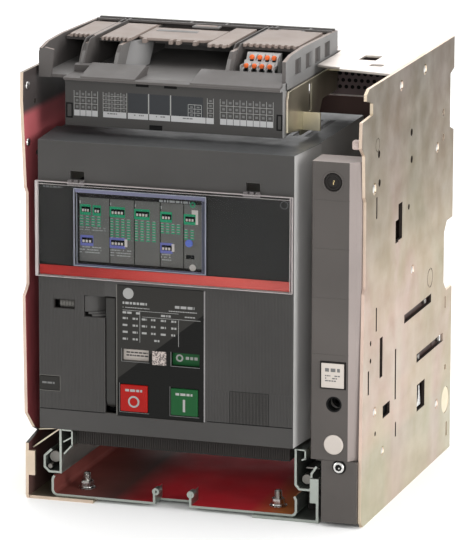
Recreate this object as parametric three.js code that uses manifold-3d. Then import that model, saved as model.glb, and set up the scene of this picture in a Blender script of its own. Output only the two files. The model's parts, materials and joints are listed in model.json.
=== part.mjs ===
// Withdrawable three-pole air circuit breaker, racked into its fixed cradle and switched off.
// Millimetres. +X is the right, +Y the back and +Z up. The origin is in the middle of the
// rectangle that the cradle stands on. The breaker is built in a group of its own, centred on
// the middle pole, and the cradle in another.

import * as THREE from 'three';
import { mergeVertices } from 'three/addons/utils/BufferGeometryUtils.js';
import Module from 'manifold-3d';

const wasm = await Module();
wasm.setup();

// ---------- driving dimensions ----------

const WIDTH = 278;
const DEPTH = 271;
const HEIGHT = 363.5;
const GAP = 0.3;

const HALF_WIDTH = WIDTH / 2;
const FRONT = -DEPTH / 2;
const REAR = DEPTH / 2;

const PLATE = 2.5;
const PLATE_HEIGHT = 345;
const SHEET = 2;
const INNER = HALF_WIDTH - PLATE;

const BREAKER_X = -19.7;
const POLE_PITCH = 70;
const COVER_HALF_WIDTH = 104.6;
const SEAM_HALF_WIDTH = 109.3;
const COVER_BOTTOM = 61;
const COVER_TOP = 293;
const COVER_FRONT = FRONT + 4;
const SEAM_Y = -75;
const HOUSING_BACK = 50;
const WALL = 3;

const UPPER_BAR_Z = 222;
const LOWER_BAR_Z = 112;
const BAR_HALF_THICKNESS = 5;
const BAR_HALF_WIDTH = 22;
const WALL_FRONT = 85;
const WALL_BACK = 97;

const SHAFT_Y = -38;
const SHAFT_Z = 128;
const SHAFT_RADIUS = 9;
const CONTACT_OPENING_DEG = 14;

const SCREW_X = 117.3;
const SCREW_Z = 98.9;
const SCREW_RADIUS = 6;

const BOX_LEFT = -134;
const BOX_RIGHT = 68;
const BOX_BACK = 40;
const BOX_FLOOR = 337;

// ---------- materials ----------

function material(color, roughness, metalness) {
  return new THREE.MeshStandardMaterial({ color, roughness, metalness });
}

const zincSteel = material(0xb5ab8c, 0.4, 0.85);
const paleSteel = material(0xc9c4c4, 0.45, 0.6);
const brightSteel = material(0xb8b8b8, 0.3, 0.9);
const silveredCopper = material(0xc4beb4, 0.35, 0.95);
const coverPlastic = material(0x4d4d4c, 0.6, 0);
const darkPlastic = material(0x2b2b2b, 0.6, 0);
const warmGreyPlastic = material(0x66605d, 0.6, 0);
const boxPlastic = material(0x6c6766, 0.65, 0);
const glossyBlack = material(0x222322, 0.15, 0);
const whitePlastic = material(0xe2dcd8, 0.5, 0);
const redPlastic = material(0xc33129, 0.4, 0);
const greenPlastic = material(0x1f6b3c, 0.4, 0);
const paleGreyPlastic = material(0xb9b4b2, 0.6, 0);
const mouldedBrown = material(0x4a3330, 0.6, 0);
const clearPlastic = new THREE.MeshStandardMaterial({
  color: 0xcfd4d6,
  roughness: 0.08,
  metalness: 0,
  transparent: true,
  opacity: 0.3,
});

// ---------- solids ----------

function solidFrom(geometry) {
  geometry.deleteAttribute('normal');
  geometry.deleteAttribute('uv');
  const merged = mergeVertices(geometry, 1e-4);
  const mesh = new wasm.Mesh({
    numProp: 3,
    vertProperties: new Float32Array(merged.attributes.position.array),
    triVerts: new Uint32Array(merged.index.array),
  });
  return new wasm.Manifold(mesh);
}

function geometryFrom(solid) {
  const mesh = solid.getMesh();
  const geometry = new THREE.BufferGeometry();
  const positions = new Float32Array(mesh.vertProperties);
  geometry.setAttribute('position', new THREE.BufferAttribute(positions, 3));
  geometry.setIndex(new THREE.BufferAttribute(new Uint32Array(mesh.triVerts), 1));
  geometry.computeVertexNormals();
  return geometry;
}

// A box between two limits on each axis.
function block([x0, x1], [y0, y1], [z0, z1]) {
  const geometry = new THREE.BoxGeometry(x1 - x0, y1 - y0, z1 - z0);
  geometry.translate((x0 + x1) / 2, (y0 + y1) / 2, (z0 + z1) / 2);
  return solidFrom(geometry);
}

function outline(points) {
  return new THREE.Shape(points.map(([a, b]) => new THREE.Vector2(a, b)));
}

function extruded(points, depth) {
  return new THREE.ExtrudeGeometry(outline(points), { depth, bevelEnabled: false });
}

// An outline of [y, z] points, swept along X.
function sweptX(points, [x0, x1]) {
  const turn = new THREE.Matrix4().set(0, 0, 1, 0, 1, 0, 0, 0, 0, 1, 0, 0, 0, 0, 0, 1);
  return solidFrom(extruded(points, x1 - x0).applyMatrix4(turn).translate(x0, 0, 0));
}

// An outline of [x, z] points, swept along Y.
function sweptY(points, [y0, y1]) {
  return solidFrom(extruded(points, y1 - y0).rotateX(Math.PI / 2).translate(0, y1, 0));
}

// An outline of [x, y] points, swept along Z.
function sweptZ(points, [z0, z1]) {
  return solidFrom(extruded(points, z1 - z0).translate(0, 0, z0));
}

// A round bar along one axis. The centre holds its places on the other two axes, in order.
function rod(axis, radius, [from, to], [a, b], sides = 24) {
  const geometry = new THREE.CylinderGeometry(radius, radius, to - from, sides);
  const middle = (from + to) / 2;
  if (axis === 'x') {
    geometry.rotateZ(Math.PI / 2).translate(middle, a, b);
  } else if (axis === 'y') {
    geometry.translate(a, middle, b);
  } else {
    geometry.rotateX(Math.PI / 2).translate(a, b, middle);
  }
  return solidFrom(geometry);
}

function join(...solids) {
  return solids.reduce((sum, solid) => sum.add(solid));
}

function cut(solid, ...tools) {
  return tools.reduce((rest, tool) => rest.subtract(tool), solid);
}

// A strip of sheet metal of constant thickness that follows the points of its outer side.
function bentSheet(points, thickness) {
  const count = points.length;
  const inner = points.map(([x, y], i) => {
    const [px, py] = points[Math.max(i - 1, 0)];
    const [nx, ny] = points[Math.min(i + 1, count - 1)];
    const before = new THREE.Vector2(x - px, y - py).normalize();
    const after = new THREE.Vector2(nx - x, ny - y).normalize();
    const along = before.add(after).normalize();
    const side = new THREE.Vector2(-along.y, along.x);
    const edge = i === 0 ? after : new THREE.Vector2(x - px, y - py).normalize();
    const lean = Math.max(side.dot(new THREE.Vector2(-edge.y, edge.x)), 0.5);
    return [x + (side.x * thickness) / lean, y + (side.y * thickness) / lean];
  });
  return [...points, ...inner.reverse()];
}

// ---------- scene graph ----------

const group = new THREE.Group();
const cradle = new THREE.Group();
const breaker = new THREE.Group();
breaker.position.x = BREAKER_X;
group.add(cradle, breaker);

function addPart(parent, name, solid, finish) {
  const mesh = new THREE.Mesh(geometryFrom(solid), finish.clone());
  mesh.name = name;
  parent.add(mesh);
  return mesh;
}

// ---------- cradle: side plates ----------

const REAR_EDGE = [
  [REAR, 137],
  [118, 137],
  [110, 145],
  [110, 187],
  [118, 195],
  [REAR, 195],
  [REAR, 268],
  [124, 272],
  [124, 316],
  [REAR, 319],
];

function rightPlateSolid() {
  const edge = [
    [-122, 0],
    [REAR, 0],
    ...REAR_EDGE,
    [REAR, PLATE_HEIGHT],
    [-113, PLATE_HEIGHT],
    [-120, 341.5],
    [-120, 336.5],
    [-103, 332],
    [-103, 323],
    [-131.5, 322],
    [-133, 302],
    [-124, 294.7],
    [-122.5, 262],
    [-119.5, 258],
    [-119.5, 190],
    [-122.5, 186],
    [-126.5, 60],
    [-127, 5],
  ];
  const slots = [
    [-8, 72, 137, 144],
    [30, 110, 96, 103],
    [32, 55, 55, 77],
    [-68, -48, 74, 84],
    [-78, -70, 109, 141],
    [-34, -30.5, 81, 122],
    [-32, -29, 50, 62],
    [-90, -87, 149, 168],
    [-91.5, -88.5, 239, 256],
    [114.5, 117.5, 122, 132],
    [-28, -17, 209, 238],
    [122, 126, 12, 24],
    [-111, -107.5, 103, 122],
  ];
  const holes = [
    [118, 72, 2.4],
    [104, 267, 3],
    [103, 288, 3],
    [8, 289, 3],
    [9, 267, 3],
    [-85, 289, 3],
    [-83, 266, 3],
    [2, 230, 2.4],
    [-89, 67, 2],
    [-104, 129, 2],
    [-104, 143, 2],
  ];
  const sheet = [INNER, HALF_WIDTH];
  const through = [INNER - 1, HALF_WIDTH + 1];
  return cut(
    sweptX(edge, sheet),
    ...slots.map(([y0, y1, z0, z1]) => block(through, [y0, y1], [z0, z1])),
    ...holes.map(([y, z, radius]) => rod('x', radius, through, [y, z], 12)),
  );
}

function leftPlateSolid() {
  const edge = [
    [-123, 0],
    [REAR, 0],
    ...REAR_EDGE,
    [REAR, PLATE_HEIGHT],
    [-130, PLATE_HEIGHT],
    [-131, 323],
    [-124, 253],
    [-120, 248],
    [-120, 174],
    [-124, 170],
    [-129, 166],
    [-126, 71],
    [-109, 55],
    [-98, 50],
    [-124, 45.5],
    [-125, 4],
  ];
  const sheet = [-HALF_WIDTH, -INNER];
  const through = [-HALF_WIDTH - 1, -INNER + 1];
  const holes = [
    [-104, 318, 2.2],
    [-100, 276, 2.2],
    [8, 289, 3],
    [104, 267, 3],
  ];
  return join(
    cut(
      sweptX(edge, sheet),
      block(through, [-8, 72], [137, 144]),
      block(through, [30, 110], [96, 103]),
      ...holes.map(([y, z, radius]) => rod('x', radius, through, [y, z], 12)),
    ),
    block([-HALF_WIDTH, -83], [-123, 125], [0, PLATE]),
    block([-HALF_WIDTH, -131.2], [-124.5, -122], [19.5, 39.5]),
  );
}

addPart(cradle, 'left_side_plate', leftPlateSolid(), zincSteel);
addPart(cradle, 'right_side_plate', rightPlateSolid(), zincSteel);

// ---------- cradle: bottom ----------

const BRACKET_X = 103.5;
const TRAY_BOTTOM = PLATE + GAP;
const TRAY_TOP = TRAY_BOTTOM + SHEET;
const TRAY_FRONT = -120;
const NOTCH_BACK = -106;
const RAIL_FRONT = -118;
const RAIL_BACK = 82;
const RAIL_TOP = 57.7;
const STUD_PLACES = [
  ['left_base_stud', -97, -97],
  ['right_base_stud', 63.5, -100],
];

const innerBracket = join(
  block([BRACKET_X - PLATE, BRACKET_X], [-123, 125], [0, 36]),
  block([49, BRACKET_X], [-123, 125], [0, PLATE]),
  block([96, BRACKET_X], [-123, -120.5], [16, 36]),
);
addPart(cradle, 'right_inner_bracket', innerBracket, zincSteel);

function traySolid() {
  const left = -119;
  const right = 85;
  const upstand = 17;
  const corner = 4;
  const section = bentSheet(
    [
      [left + 1.5, TRAY_BOTTOM + upstand],
      [left, TRAY_BOTTOM + upstand - 3],
      [left, TRAY_BOTTOM + corner],
      [left + corner / 3, TRAY_BOTTOM + corner / 3],
      [left + corner, TRAY_BOTTOM],
      [right - corner, TRAY_BOTTOM],
      [right - corner / 3, TRAY_BOTTOM + corner / 3],
      [right, TRAY_BOTTOM + corner],
      [right, TRAY_BOTTOM + upstand - 3],
      [right - 1.5, TRAY_BOTTOM + upstand],
    ],
    SHEET,
  );
  const notch = block([-32, -4], [TRAY_FRONT - 1, NOTCH_BACK], [0, 12]);
  const lips = [-34, -4].map((x) => (
    block([x, x + SHEET], [TRAY_FRONT, NOTCH_BACK + 4], [TRAY_BOTTOM, 15.5])
  ));
  const boltHoles = STUD_PLACES.map(([, x, y]) => rod('z', 3.5, [0, 12], [x, y], 16));
  return join(cut(sweptY(section, [TRAY_FRONT, 118]), notch, ...boltHoles), ...lips);
}

addPart(cradle, 'base_tray', traySolid(), zincSteel);

function studSolid(x, y) {
  const washer = TRAY_TOP + GAP;
  return join(
    rod('z', 7, [washer, washer + 1.4], [x, y], 24),
    rod('z', 5.2, [washer + 1.2, washer + 6], [x, y], 6),
    rod('z', 3, [TRAY_BOTTOM, washer + 13], [x, y], 16),
  );
}

for (const [name, x, y] of STUD_PLACES) {
  addPart(cradle, name, studSolid(x, y), brightSteel);
}

// The rails are hooked channels that carry the sliding breaker by its runners.
const railHook = bentSheet(
  [
    [-120, 41],
    [-126.5, 35],
    [-126.5, 25],
    [-122, 20.9],
    [-111, 20.9],
    [-111, RAIL_TOP],
  ],
  SHEET,
);
addPart(cradle, 'left_guide_rail', sweptY(railHook, [RAIL_FRONT, RAIL_BACK]), paleSteel);
const rightHook = bentSheet(
  [
    [82, RAIL_TOP],
    [82, 28],
    [85.5, 24],
    [95, 24],
    [97, 27],
    [97, 38],
    [101, 44],
  ],
  SHEET,
);
addPart(cradle, 'right_guide_rail', sweptY(rightHook, [RAIL_FRONT, RAIL_BACK]), paleSteel);

// ---------- cradle: rear ----------

const poleCentres = [-POLE_PITCH, 0, POLE_PITCH];
const barRows = [
  ['upper', UPPER_BAR_Z],
  ['lower', LOWER_BAR_Z],
];

function rearWallSolid() {
  const wall = block([-INNER + GAP, INNER - GAP], [WALL_FRONT, WALL_BACK], [40, 300]);
  const windows = [];
  const ribs = [];
  for (const centre of poleCentres) {
    const x = BREAKER_X + centre;
    for (const [, z] of barRows) {
      const side = BAR_HALF_WIDTH + 1 + GAP;
      const half = BAR_HALF_THICKNESS + GAP;
      windows.push(block([x - side, x + side], [80, 100], [z - half, z + half]));
    }
  }
  for (const x of [-1.5, -0.5, 0.5, 1.5]) {
    const middle = BREAKER_X + x * POLE_PITCH;
    ribs.push(block([middle - 2, middle + 2], [WALL_BACK - 1, 122], [60, 280]));
  }
  return cut(join(wall, ...ribs), ...windows);
}

addPart(cradle, 'rear_insulating_wall', rearWallSolid(), mouldedBrown);

// Each terminal is a silvered bar through the wall, with a bolt hole behind and a blade in front.
const TERMINAL_FRONT = 62;
const TERMINAL_HOLE = 5.5;

function terminalSolid(z) {
  const half = BAR_HALF_THICKNESS;
  return cut(
    block([-BAR_HALF_WIDTH - 1, BAR_HALF_WIDTH + 1], [TERMINAL_FRONT, REAR], [z - half, z + half]),
    rod('z', TERMINAL_HOLE, [z - 10, z + 10], [0, 117], 24),
  );
}

const poles = poleCentres.map((centre) => {
  const pole = new THREE.Group();
  pole.position.x = centre;
  return pole;
});
const terminalPoles = poleCentres.map((centre) => {
  const pole = new THREE.Group();
  pole.position.x = BREAKER_X + centre;
  return pole;
});
cradle.add(...terminalPoles);
breaker.add(...poles);

terminalPoles.forEach((pole, index) => {
  for (const [row, z] of barRows) {
    addPart(pole, `${row}_terminal_${index + 1}`, terminalSolid(z), silveredCopper);
  }
});

// The shutters slide down in front of the blades as the breaker is racked out. Each window is
// taller than the jaw, because the shutter already moves while the jaw is still leaving it.
const SHUTTER_FRONT = 57;
const SHUTTER_BACK = 59.5;

function shutterSolid(z) {
  const plate = block([-INNER + 2, 87], [SHUTTER_FRONT, SHUTTER_BACK], [z - 14, z + 31]);
  const windows = poleCentres.map((centre) => {
    const x = BREAKER_X + centre;
    const side = BAR_HALF_WIDTH + 3;
    return block([x - side, x + side], [SHUTTER_FRONT - 1, SHUTTER_BACK + 1], [z - 9.5, z + 16.5]);
  });
  return cut(plate, ...windows);
}

// ---------- cradle: top ----------

function topPlateSolid() {
  const right = INNER - GAP;
  const plan = [
    [48, 62],
    [48, BOX_BACK + 2],
    [70.5, BOX_BACK + 2],
    [70.5, -24],
    [79, -28],
    [91, -31],
    [92, -37],
    [right, -46],
    [right, 62],
  ];
  const hole = block([95, 109], [7, 28], [300, 360]);
  const slot = block([110.5, 121], [-17, -8], [300, 360]);
  return cut(
    join(
      sweptZ(plan, [PLATE_HEIGHT - SHEET, PLATE_HEIGHT]),
      block([48, right], [60, 62], [305, PLATE_HEIGHT]),
    ),
    hole,
    slot,
  );
}

addPart(cradle, 'top_rear_plate', topPlateSolid(), paleSteel);

// ---------- cradle: terminal box ----------

const BOX_FRONT = -100;
const PARTITIONS = [-106, -78, 14];
const DIP_LEFT = -51;
const DIP_RIGHT = -7;

function boxTraySolid() {
  const floor = block([BOX_LEFT, BOX_RIGHT], [BOX_FRONT, BOX_BACK], [BOX_FLOOR, BOX_FLOOR + 2.5]);
  const sideShape = (front) => [
    [front, BOX_FLOOR],
    [BOX_BACK, BOX_FLOOR],
    [BOX_BACK, HEIGHT - 2],
    [-50, HEIGHT],
    [-84, HEIGHT - 1],
    [front, HEIGHT - 4],
  ];
  const leftWall = sweptX(sideShape(BOX_FRONT), [BOX_LEFT, BOX_LEFT + 2.5]);
  const rightWindows = [
    [-81, -60],
    [-52, -30],
    [-22, -8],
    [4, 18],
  ].map(([y0, y1]) => block([60, 70], [y0, y1], [345, 357]));
  const rightWall = cut(
    sweptX(sideShape(BOX_FRONT), [BOX_RIGHT - 3, BOX_RIGHT]),
    ...rightWindows,
  );
  const backWall = block([BOX_LEFT, BOX_RIGHT], [BOX_BACK - 3, BOX_BACK], [BOX_FLOOR, HEIGHT - 2]);
  const roof = block([BOX_LEFT, BOX_RIGHT], [-44, BOX_BACK], [HEIGHT - 6, HEIGHT - 3.5]);
  const partitions = PARTITIONS.map((x) => (
    sweptX(
      [
        [-86, BOX_FLOOR + 1],
        [BOX_BACK - 1, BOX_FLOOR + 1],
        [BOX_BACK - 1, HEIGHT - 4],
        [-68, HEIGHT - 4],
        [-74, HEIGHT - 9],
      ],
      [x - 1.5, x + 1.5],
    )
  ));
  const deepBay = block([-76, 12], [-60, BOX_BACK - 3], [HEIGHT - 7, HEIGHT + 1]);
  const bayRoof = block([-77, 13], [-24, BOX_BACK], [HEIGHT - 9, HEIGHT - 6.5]);
  const wing = sweptY(
    [
      [BOX_LEFT, BOX_FLOOR],
      [-123.9, BOX_FLOOR],
      [-121.5, HEIGHT - 4.5],
      [-129, HEIGHT - 3],
      [BOX_LEFT, HEIGHT - 6],
    ],
    [BOX_FRONT - 1.5, BOX_FRONT + 1],
  );
  const raised = [
    [-112, BOX_FLOOR + 2.5],
    [-111, BOX_FLOOR + 0.5],
    [-99, BOX_FLOOR],
    [-84, BOX_FLOOR + 1],
    [-78, BOX_FLOOR + 8.5],
    [-82, BOX_FLOOR + 9],
  ];
  const low = [
    [-112, BOX_FLOOR + 2.5],
    [-111, BOX_FLOOR + 0.5],
    [-98, BOX_FLOOR],
    [-98, BOX_FLOOR + 2.5],
    [-110, BOX_FLOOR + 3.2],
  ];
  const ledges = [
    sweptX(raised, [-110, DIP_LEFT]),
    sweptX(low, [DIP_LEFT, DIP_RIGHT]),
    sweptX(raised, [DIP_RIGHT, BOX_RIGHT - 1]),
  ];
  const shell = join(floor, leftWall, rightWall, backWall, roof, ...partitions);
  return join(cut(shell, deepBay), bayRoof, wing, ...ledges);
}

addPart(cradle, 'terminal_box', boxTraySolid(), boxPlastic);

function boxFrontSolid() {
  const left = -111;
  const right = 67;
  const outer = block([left, right], [-105, -66], [300.5, BOX_FLOOR - GAP]);
  const inner = block([left + 2, right - 2], [-102.5, -60], [303, BOX_FLOOR - 2.5]);
  const notch = block([-41, -31], [-106, -102], [299, 304.5]);
  return cut(outer, inner, notch);
}

addPart(cradle, 'terminal_box_front', boxFrontSolid(), boxPlastic);

function terminalBlockSolid() {
  return sweptX(
    [
      [-66, BOX_FLOOR + 2.8],
      [-46, BOX_FLOOR + 2.8],
      [-46, 356.5],
      [-50, 356.5],
      [-53, 351.5],
      [-58, 351.5],
      [-61, 346.5],
      [-66, 346.5],
    ],
    [21, 57],
  );
}

addPart(cradle, 'terminal_block', terminalBlockSolid(), paleGreyPlastic);

function boxBracketSolid() {
  const edge = [
    [-101, 304],
    [-68, 300],
    [-66, 296],
    [-22, 296],
    [-18, 304],
    [-8, 315],
    [32, 315],
    [34, 336],
    [-98, 336],
    [-101, 330],
  ];
  const plate = cut(
    sweptX(edge, [68.4, 70.2]),
    block([66, 73], [-45, -38], [311, 333]),
  );
  const lug = block([68.4, 84.5], [-61.8, -60], [299.5, 314]);
  const shelf = block([68.4, 134], [10, 32], [334.2, 336]);
  return join(plate, lug, shelf);
}

addPart(cradle, 'terminal_box_bracket', boxBracketSolid(), zincSteel);

// ---------- cradle: racking column ----------

const COLUMN_LEFT = 98.7;
const COLUMN_RIGHT = INNER - GAP;
const COLUMN_FRONT = -130;
const COLUMN_BACK = -103;
const LOCK_Z = 274.2;
const RELEASE_X = 116.5;
const RELEASE_Z = 122;
const INDICATOR_Z = 66.7;
const FOOT_SCREW_X = 121.9;
const FOOT_SCREW_Z = 49;

function columnSolid() {
  const bevel = 7.5;
  const plan = [
    [COLUMN_LEFT, COLUMN_BACK],
    [COLUMN_LEFT, COLUMN_FRONT + 0.8],
    [COLUMN_LEFT + 0.8, COLUMN_FRONT],
    [COLUMN_RIGHT - bevel, COLUMN_FRONT],
    [COLUMN_RIGHT, COLUMN_FRONT + bevel],
    [COLUMN_RIGHT, COLUMN_BACK],
  ].reverse();
  const hollow = block(
    [COLUMN_LEFT + WALL, COLUMN_RIGHT - WALL],
    [COLUMN_FRONT + WALL, COLUMN_BACK + 5],
    [51, 286.5],
  );
  const half = 10.4;
  return cut(
    sweptZ(plan, [54, 290]),
    hollow,
    rod('y', 7.3, [COLUMN_FRONT - 5, COLUMN_FRONT + 8], [115.4, LOCK_Z], 32),
    block(
      [RELEASE_X - half, RELEASE_X + half],
      [COLUMN_FRONT - 5, COLUMN_FRONT + 8],
      [RELEASE_Z - half - 0.6, RELEASE_Z + half + 0.6],
    ),
    rod('y', 6.3, [COLUMN_FRONT - 5, COLUMN_FRONT + 8], [SCREW_X, SCREW_Z], 32),
    rod('y', 8.1, [COLUMN_FRONT - 5, COLUMN_FRONT + 8], [SCREW_X, INDICATOR_Z], 32),
  );
}

addPart(cradle, 'racking_column', columnSolid(), warmGreyPlastic);

const columnFoot = cut(
  block([107.4, COLUMN_RIGHT], [COLUMN_FRONT + 0.5, COLUMN_BACK], [4, 53.7]),
  block([109.5, COLUMN_RIGHT - 2], [COLUMN_FRONT + 3, COLUMN_BACK + 5], [0, 51.5]),
  rod('y', 2.6, [COLUMN_FRONT - 5, COLUMN_FRONT + 8], [FOOT_SCREW_X, FOOT_SCREW_Z], 16),
);
addPart(cradle, 'racking_column_foot', columnFoot, warmGreyPlastic);

const footScrew = cut(
  join(
    rod('y', 4.3, [COLUMN_FRONT - 2, COLUMN_FRONT + 0.2], [FOOT_SCREW_X, FOOT_SCREW_Z], 24),
    rod('y', 2.3, [COLUMN_FRONT, COLUMN_FRONT + 12], [FOOT_SCREW_X, FOOT_SCREW_Z], 16),
  ),
  rod('y', 2.2, [COLUMN_FRONT - 3, COLUMN_FRONT - 0.3], [FOOT_SCREW_X, FOOT_SCREW_Z], 6),
);
addPart(cradle, 'column_screw', footScrew, brightSteel);

// ---------- cradle: pieces that move ----------

const lockBarrel = cut(
  join(
    rod('y', 7, [COLUMN_FRONT + 0.5, COLUMN_FRONT + 18], [115.4, LOCK_Z], 32),
    block([112.5, 118.3], [COLUMN_FRONT + 18, COLUMN_FRONT + 20.5], [262, 277]),
  ),
  block([114.6, 116.2], [COLUMN_FRONT - 1, COLUMN_FRONT + 6], [270.5, 278]),
);
addPart(cradle, 'key_lock', lockBarrel, brightSteel);

const releaseButton = join(
  block([RELEASE_X - 10, RELEASE_X + 10], [COLUMN_FRONT - 1.5, COLUMN_FRONT + 6], [111.4, 132.6]),
  block([RELEASE_X - 4, RELEASE_X + 4], [COLUMN_FRONT + 5, COLUMN_FRONT + 16], [118, 126]),
);
addPart(cradle, 'racking_release_button', releaseButton, whitePlastic);

const SCREW_END = 40;
const rackingScrew = cut(
  join(
    rod('y', SCREW_RADIUS, [COLUMN_FRONT + 15, SCREW_END], [SCREW_X, SCREW_Z], 24),
    rod('y', 9, [COLUMN_BACK + 4, COLUMN_BACK + 10], [SCREW_X, SCREW_Z], 24),
  ),
  block([SCREW_X - 3, SCREW_X + 3], [COLUMN_FRONT, COLUMN_FRONT + 32], [SCREW_Z - 3, SCREW_Z + 3]),
);
addPart(cradle, 'racking_screw', rackingScrew, brightSteel);

const indicatorDisc = join(
  rod('y', 7.8, [COLUMN_FRONT - 0.8, COLUMN_FRONT + 3.5], [SCREW_X, INDICATOR_Z], 32),
  rod('y', 2.5, [COLUMN_FRONT + 3, COLUMN_FRONT + 20], [SCREW_X, INDICATOR_Z], 16),
);
addPart(cradle, 'position_indicator', indicatorDisc, whitePlastic);

addPart(cradle, 'upper_shutter', shutterSolid(UPPER_BAR_Z), mouldedBrown);
addPart(cradle, 'lower_shutter', shutterSolid(LOWER_BAR_Z), mouldedBrown);

// ---------- breaker: casings ----------

const PANEL_BOTTOM = 184.8;
const PANEL_TOP = 261;
const TRIP = { left: -73, right: 33.4, bottom: 194.4, top: 255.6 };
const RATING = { left: -39.6, right: 32, bottom: 76.5, top: 181.5 };
const LEVER = { left: -49.8, right: -40.6, bottom: 77.5, top: 171.5 };
const GRIP = { left: -67, right: -49, bottom: 154, top: 171 };
const RESET = { left: -105, right: -87.6, bottom: 92.4, top: 104 };
const RESET_POCKET_BACK = -118;

function window({ left, right, bottom, top }, grow = 0, back = COVER_FRONT + 8) {
  return block(
    [left - grow, right + grow],
    [FRONT - 1, back],
    [bottom - grow, top + grow],
  );
}

function coverSolid() {
  const plan = (inset) => [
    [-COVER_HALF_WIDTH + inset, COVER_FRONT + inset],
    [COVER_HALF_WIDTH - inset, COVER_FRONT + inset],
    [SEAM_HALF_WIDTH - inset, SEAM_Y],
    [-SEAM_HALF_WIDTH + inset, SEAM_Y],
  ];
  const innerPlan = plan(WALL);
  innerPlan[2][1] += 1;
  innerPlan[3][1] += 1;
  const shell = cut(
    sweptZ(plan(0), [COVER_BOTTOM, COVER_TOP]),
    sweptZ(innerPlan, [COVER_BOTTOM + WALL, COVER_TOP - WALL]),
  );
  const gripPocket = block(
    [GRIP.left - 2, LEVER.left],
    [COVER_FRONT + 1, COVER_FRONT + 16],
    [GRIP.bottom - 2, GRIP.top + 2],
  );
  const gripHollow = block(
    [GRIP.left, LEVER.left + 1],
    [FRONT, COVER_FRONT + 14],
    [GRIP.bottom, GRIP.top],
  );
  const notches = [-78, 65.5].map((x) => (
    block([x, x + 11.5], [FRONT, COVER_FRONT + 8], [263, 269.5])
  ));
  return cut(
    join(shell, gripPocket),
    gripHollow,
    window(TRIP, GAP),
    window(RATING, GAP),
    window(LEVER),
    window(RESET, GAP, RESET_POCKET_BACK),
    window({ left: -91.7, right: -74.8, bottom: 159.4, top: 166.5 }),
    ...notches,
  );
}

addPart(breaker, 'front_cover', coverSolid(), coverPlastic);

function housingSolid() {
  const half = SEAM_HALF_WIDTH - 2.3;
  const outer = block([-half, half], [SEAM_Y + GAP, HOUSING_BACK], [COVER_BOTTOM, COVER_TOP - 1]);
  const inner = block(
    [-half + WALL, half - WALL],
    [SEAM_Y - 1, HOUSING_BACK - WALL],
    [COVER_BOTTOM + WALL, COVER_TOP - 1 - WALL],
  );
  const windows = [];
  for (const centre of poleCentres) {
    for (const [, z] of barRows) {
      const side = BAR_HALF_WIDTH + GAP;
      windows.push(
        block([centre - side, centre + side], [40, 60], [z - 5.3, z + 5.3]),
      );
    }
    for (const step of [-2, -1, 0, 1, 2]) {
      const x = centre + step * 10;
      windows.push(block([x - 2.5, x + 2.5], [-50, 20], [COVER_TOP - 10, COVER_TOP + 5]));
    }
  }
  const bearing = rod('x', SHAFT_RADIUS + GAP, [-half - 1, half + 1], [SHAFT_Y, SHAFT_Z], 32);
  const runners = [
    block([-half + 1, -half + 16], [-70, 48], [COVER_BOTTOM - 3, COVER_BOTTOM + 1]),
    block([half - 16, half - 1], [-70, 48], [COVER_BOTTOM - 3, COVER_BOTTOM + 1]),
  ];
  return join(cut(outer, inner, ...windows, bearing), ...runners);
}

addPart(breaker, 'pole_housing', housingSolid(), darkPlastic);

const GRILLE_SLOTS = 36;

function grilleSolid() {
  const slots = [];
  for (let i = 0; i < GRILLE_SLOTS; i += 1) {
    const x = -81 + (i * 172.5) / (GRILLE_SLOTS - 1);
    slots.push(block([x - 0.8, x + 0.8], [-109, -107], [48.5, COVER_BOTTOM]));
  }
  return cut(
    block([-84, 94.5], [-108, -72], [47, COVER_BOTTOM - GAP]),
    block([-82, 92.5], [-103, -60], [44, 58]),
    ...slots,
  );
}

addPart(breaker, 'base_grille', grilleSolid(), darkPlastic);

// ---------- breaker: front panel ----------

const TRIP_FACE = COVER_FRONT + 1.2;
const tripUnit = join(
  window(TRIP, 0, -84).subtract(block([-120, 120], [FRONT - 5, TRIP_FACE], [100, 300])),
  block([-80, 40], [COVER_FRONT + 5, -84], [190, 258]),
);
addPart(breaker, 'trip_unit', tripUnit, darkPlastic);

const HINGE_Y = FRONT + 1.9;
const HINGE_Z = 261.6;

function panelSolid() {
  const side = COVER_HALF_WIDTH - 0.3;
  const outer = block([-side, side], [FRONT, COVER_FRONT - GAP], [PANEL_BOTTOM, PANEL_TOP]);
  const inner = block(
    [-side + 1.6, side - 1.6],
    [FRONT + 1.6, COVER_FRONT + 1],
    [PANEL_BOTTOM + 1.6, PANEL_TOP - 1.6],
  );
  const knuckles = [-72.3, 71.2].map((x) => (
    rod('x', 1.8, [x - 7, x + 7], [HINGE_Y, HINGE_Z], 12)
  ));
  return join(cut(outer, inner), ...knuckles);
}

addPart(breaker, 'trip_unit_cover', panelSolid(), clearPlastic);

const OFF = { left: -36.7, right: -14.4, bottom: 80.5, top: 102 };
const ON = { left: 4.9, right: 27, bottom: 80.5, top: 102 };
const SPRING_WINDOW = { left: -35.5, right: -13.6, bottom: 121, top: 130.5 };
const STATE_WINDOW = { left: 5, right: 28.2, bottom: 120, top: 130.5 };

function ratingPanelSolid() {
  const sheet = block(
    [RATING.left, RATING.right],
    [COVER_FRONT - 0.2, COVER_FRONT + 4],
    [RATING.bottom, RATING.top],
  );
  return cut(sheet, window(OFF, GAP), window(ON, GAP), window(SPRING_WINDOW), window(STATE_WINDOW));
}

addPart(breaker, 'rating_panel', ratingPanelSolid(), glossyBlack);

const BUTTON_FRONT = COVER_FRONT - 1.6;

function buttonSolid(place, back) {
  const face = block([place.left, place.right], [BUTTON_FRONT, back], [place.bottom, place.top]);
  const middle = (place.left + place.right) / 2;
  const height = (place.bottom + place.top) / 2;
  return join(face, rod('y', 3, [back - 1, back + 4], [middle, height], 16));
}

addPart(breaker, 'off_button', buttonSolid(OFF, -126), redPlastic);
addPart(breaker, 'on_button', buttonSolid(ON, -126), greenPlastic);
addPart(breaker, 'reset_button', buttonSolid(RESET, -124), coverPlastic);

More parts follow.
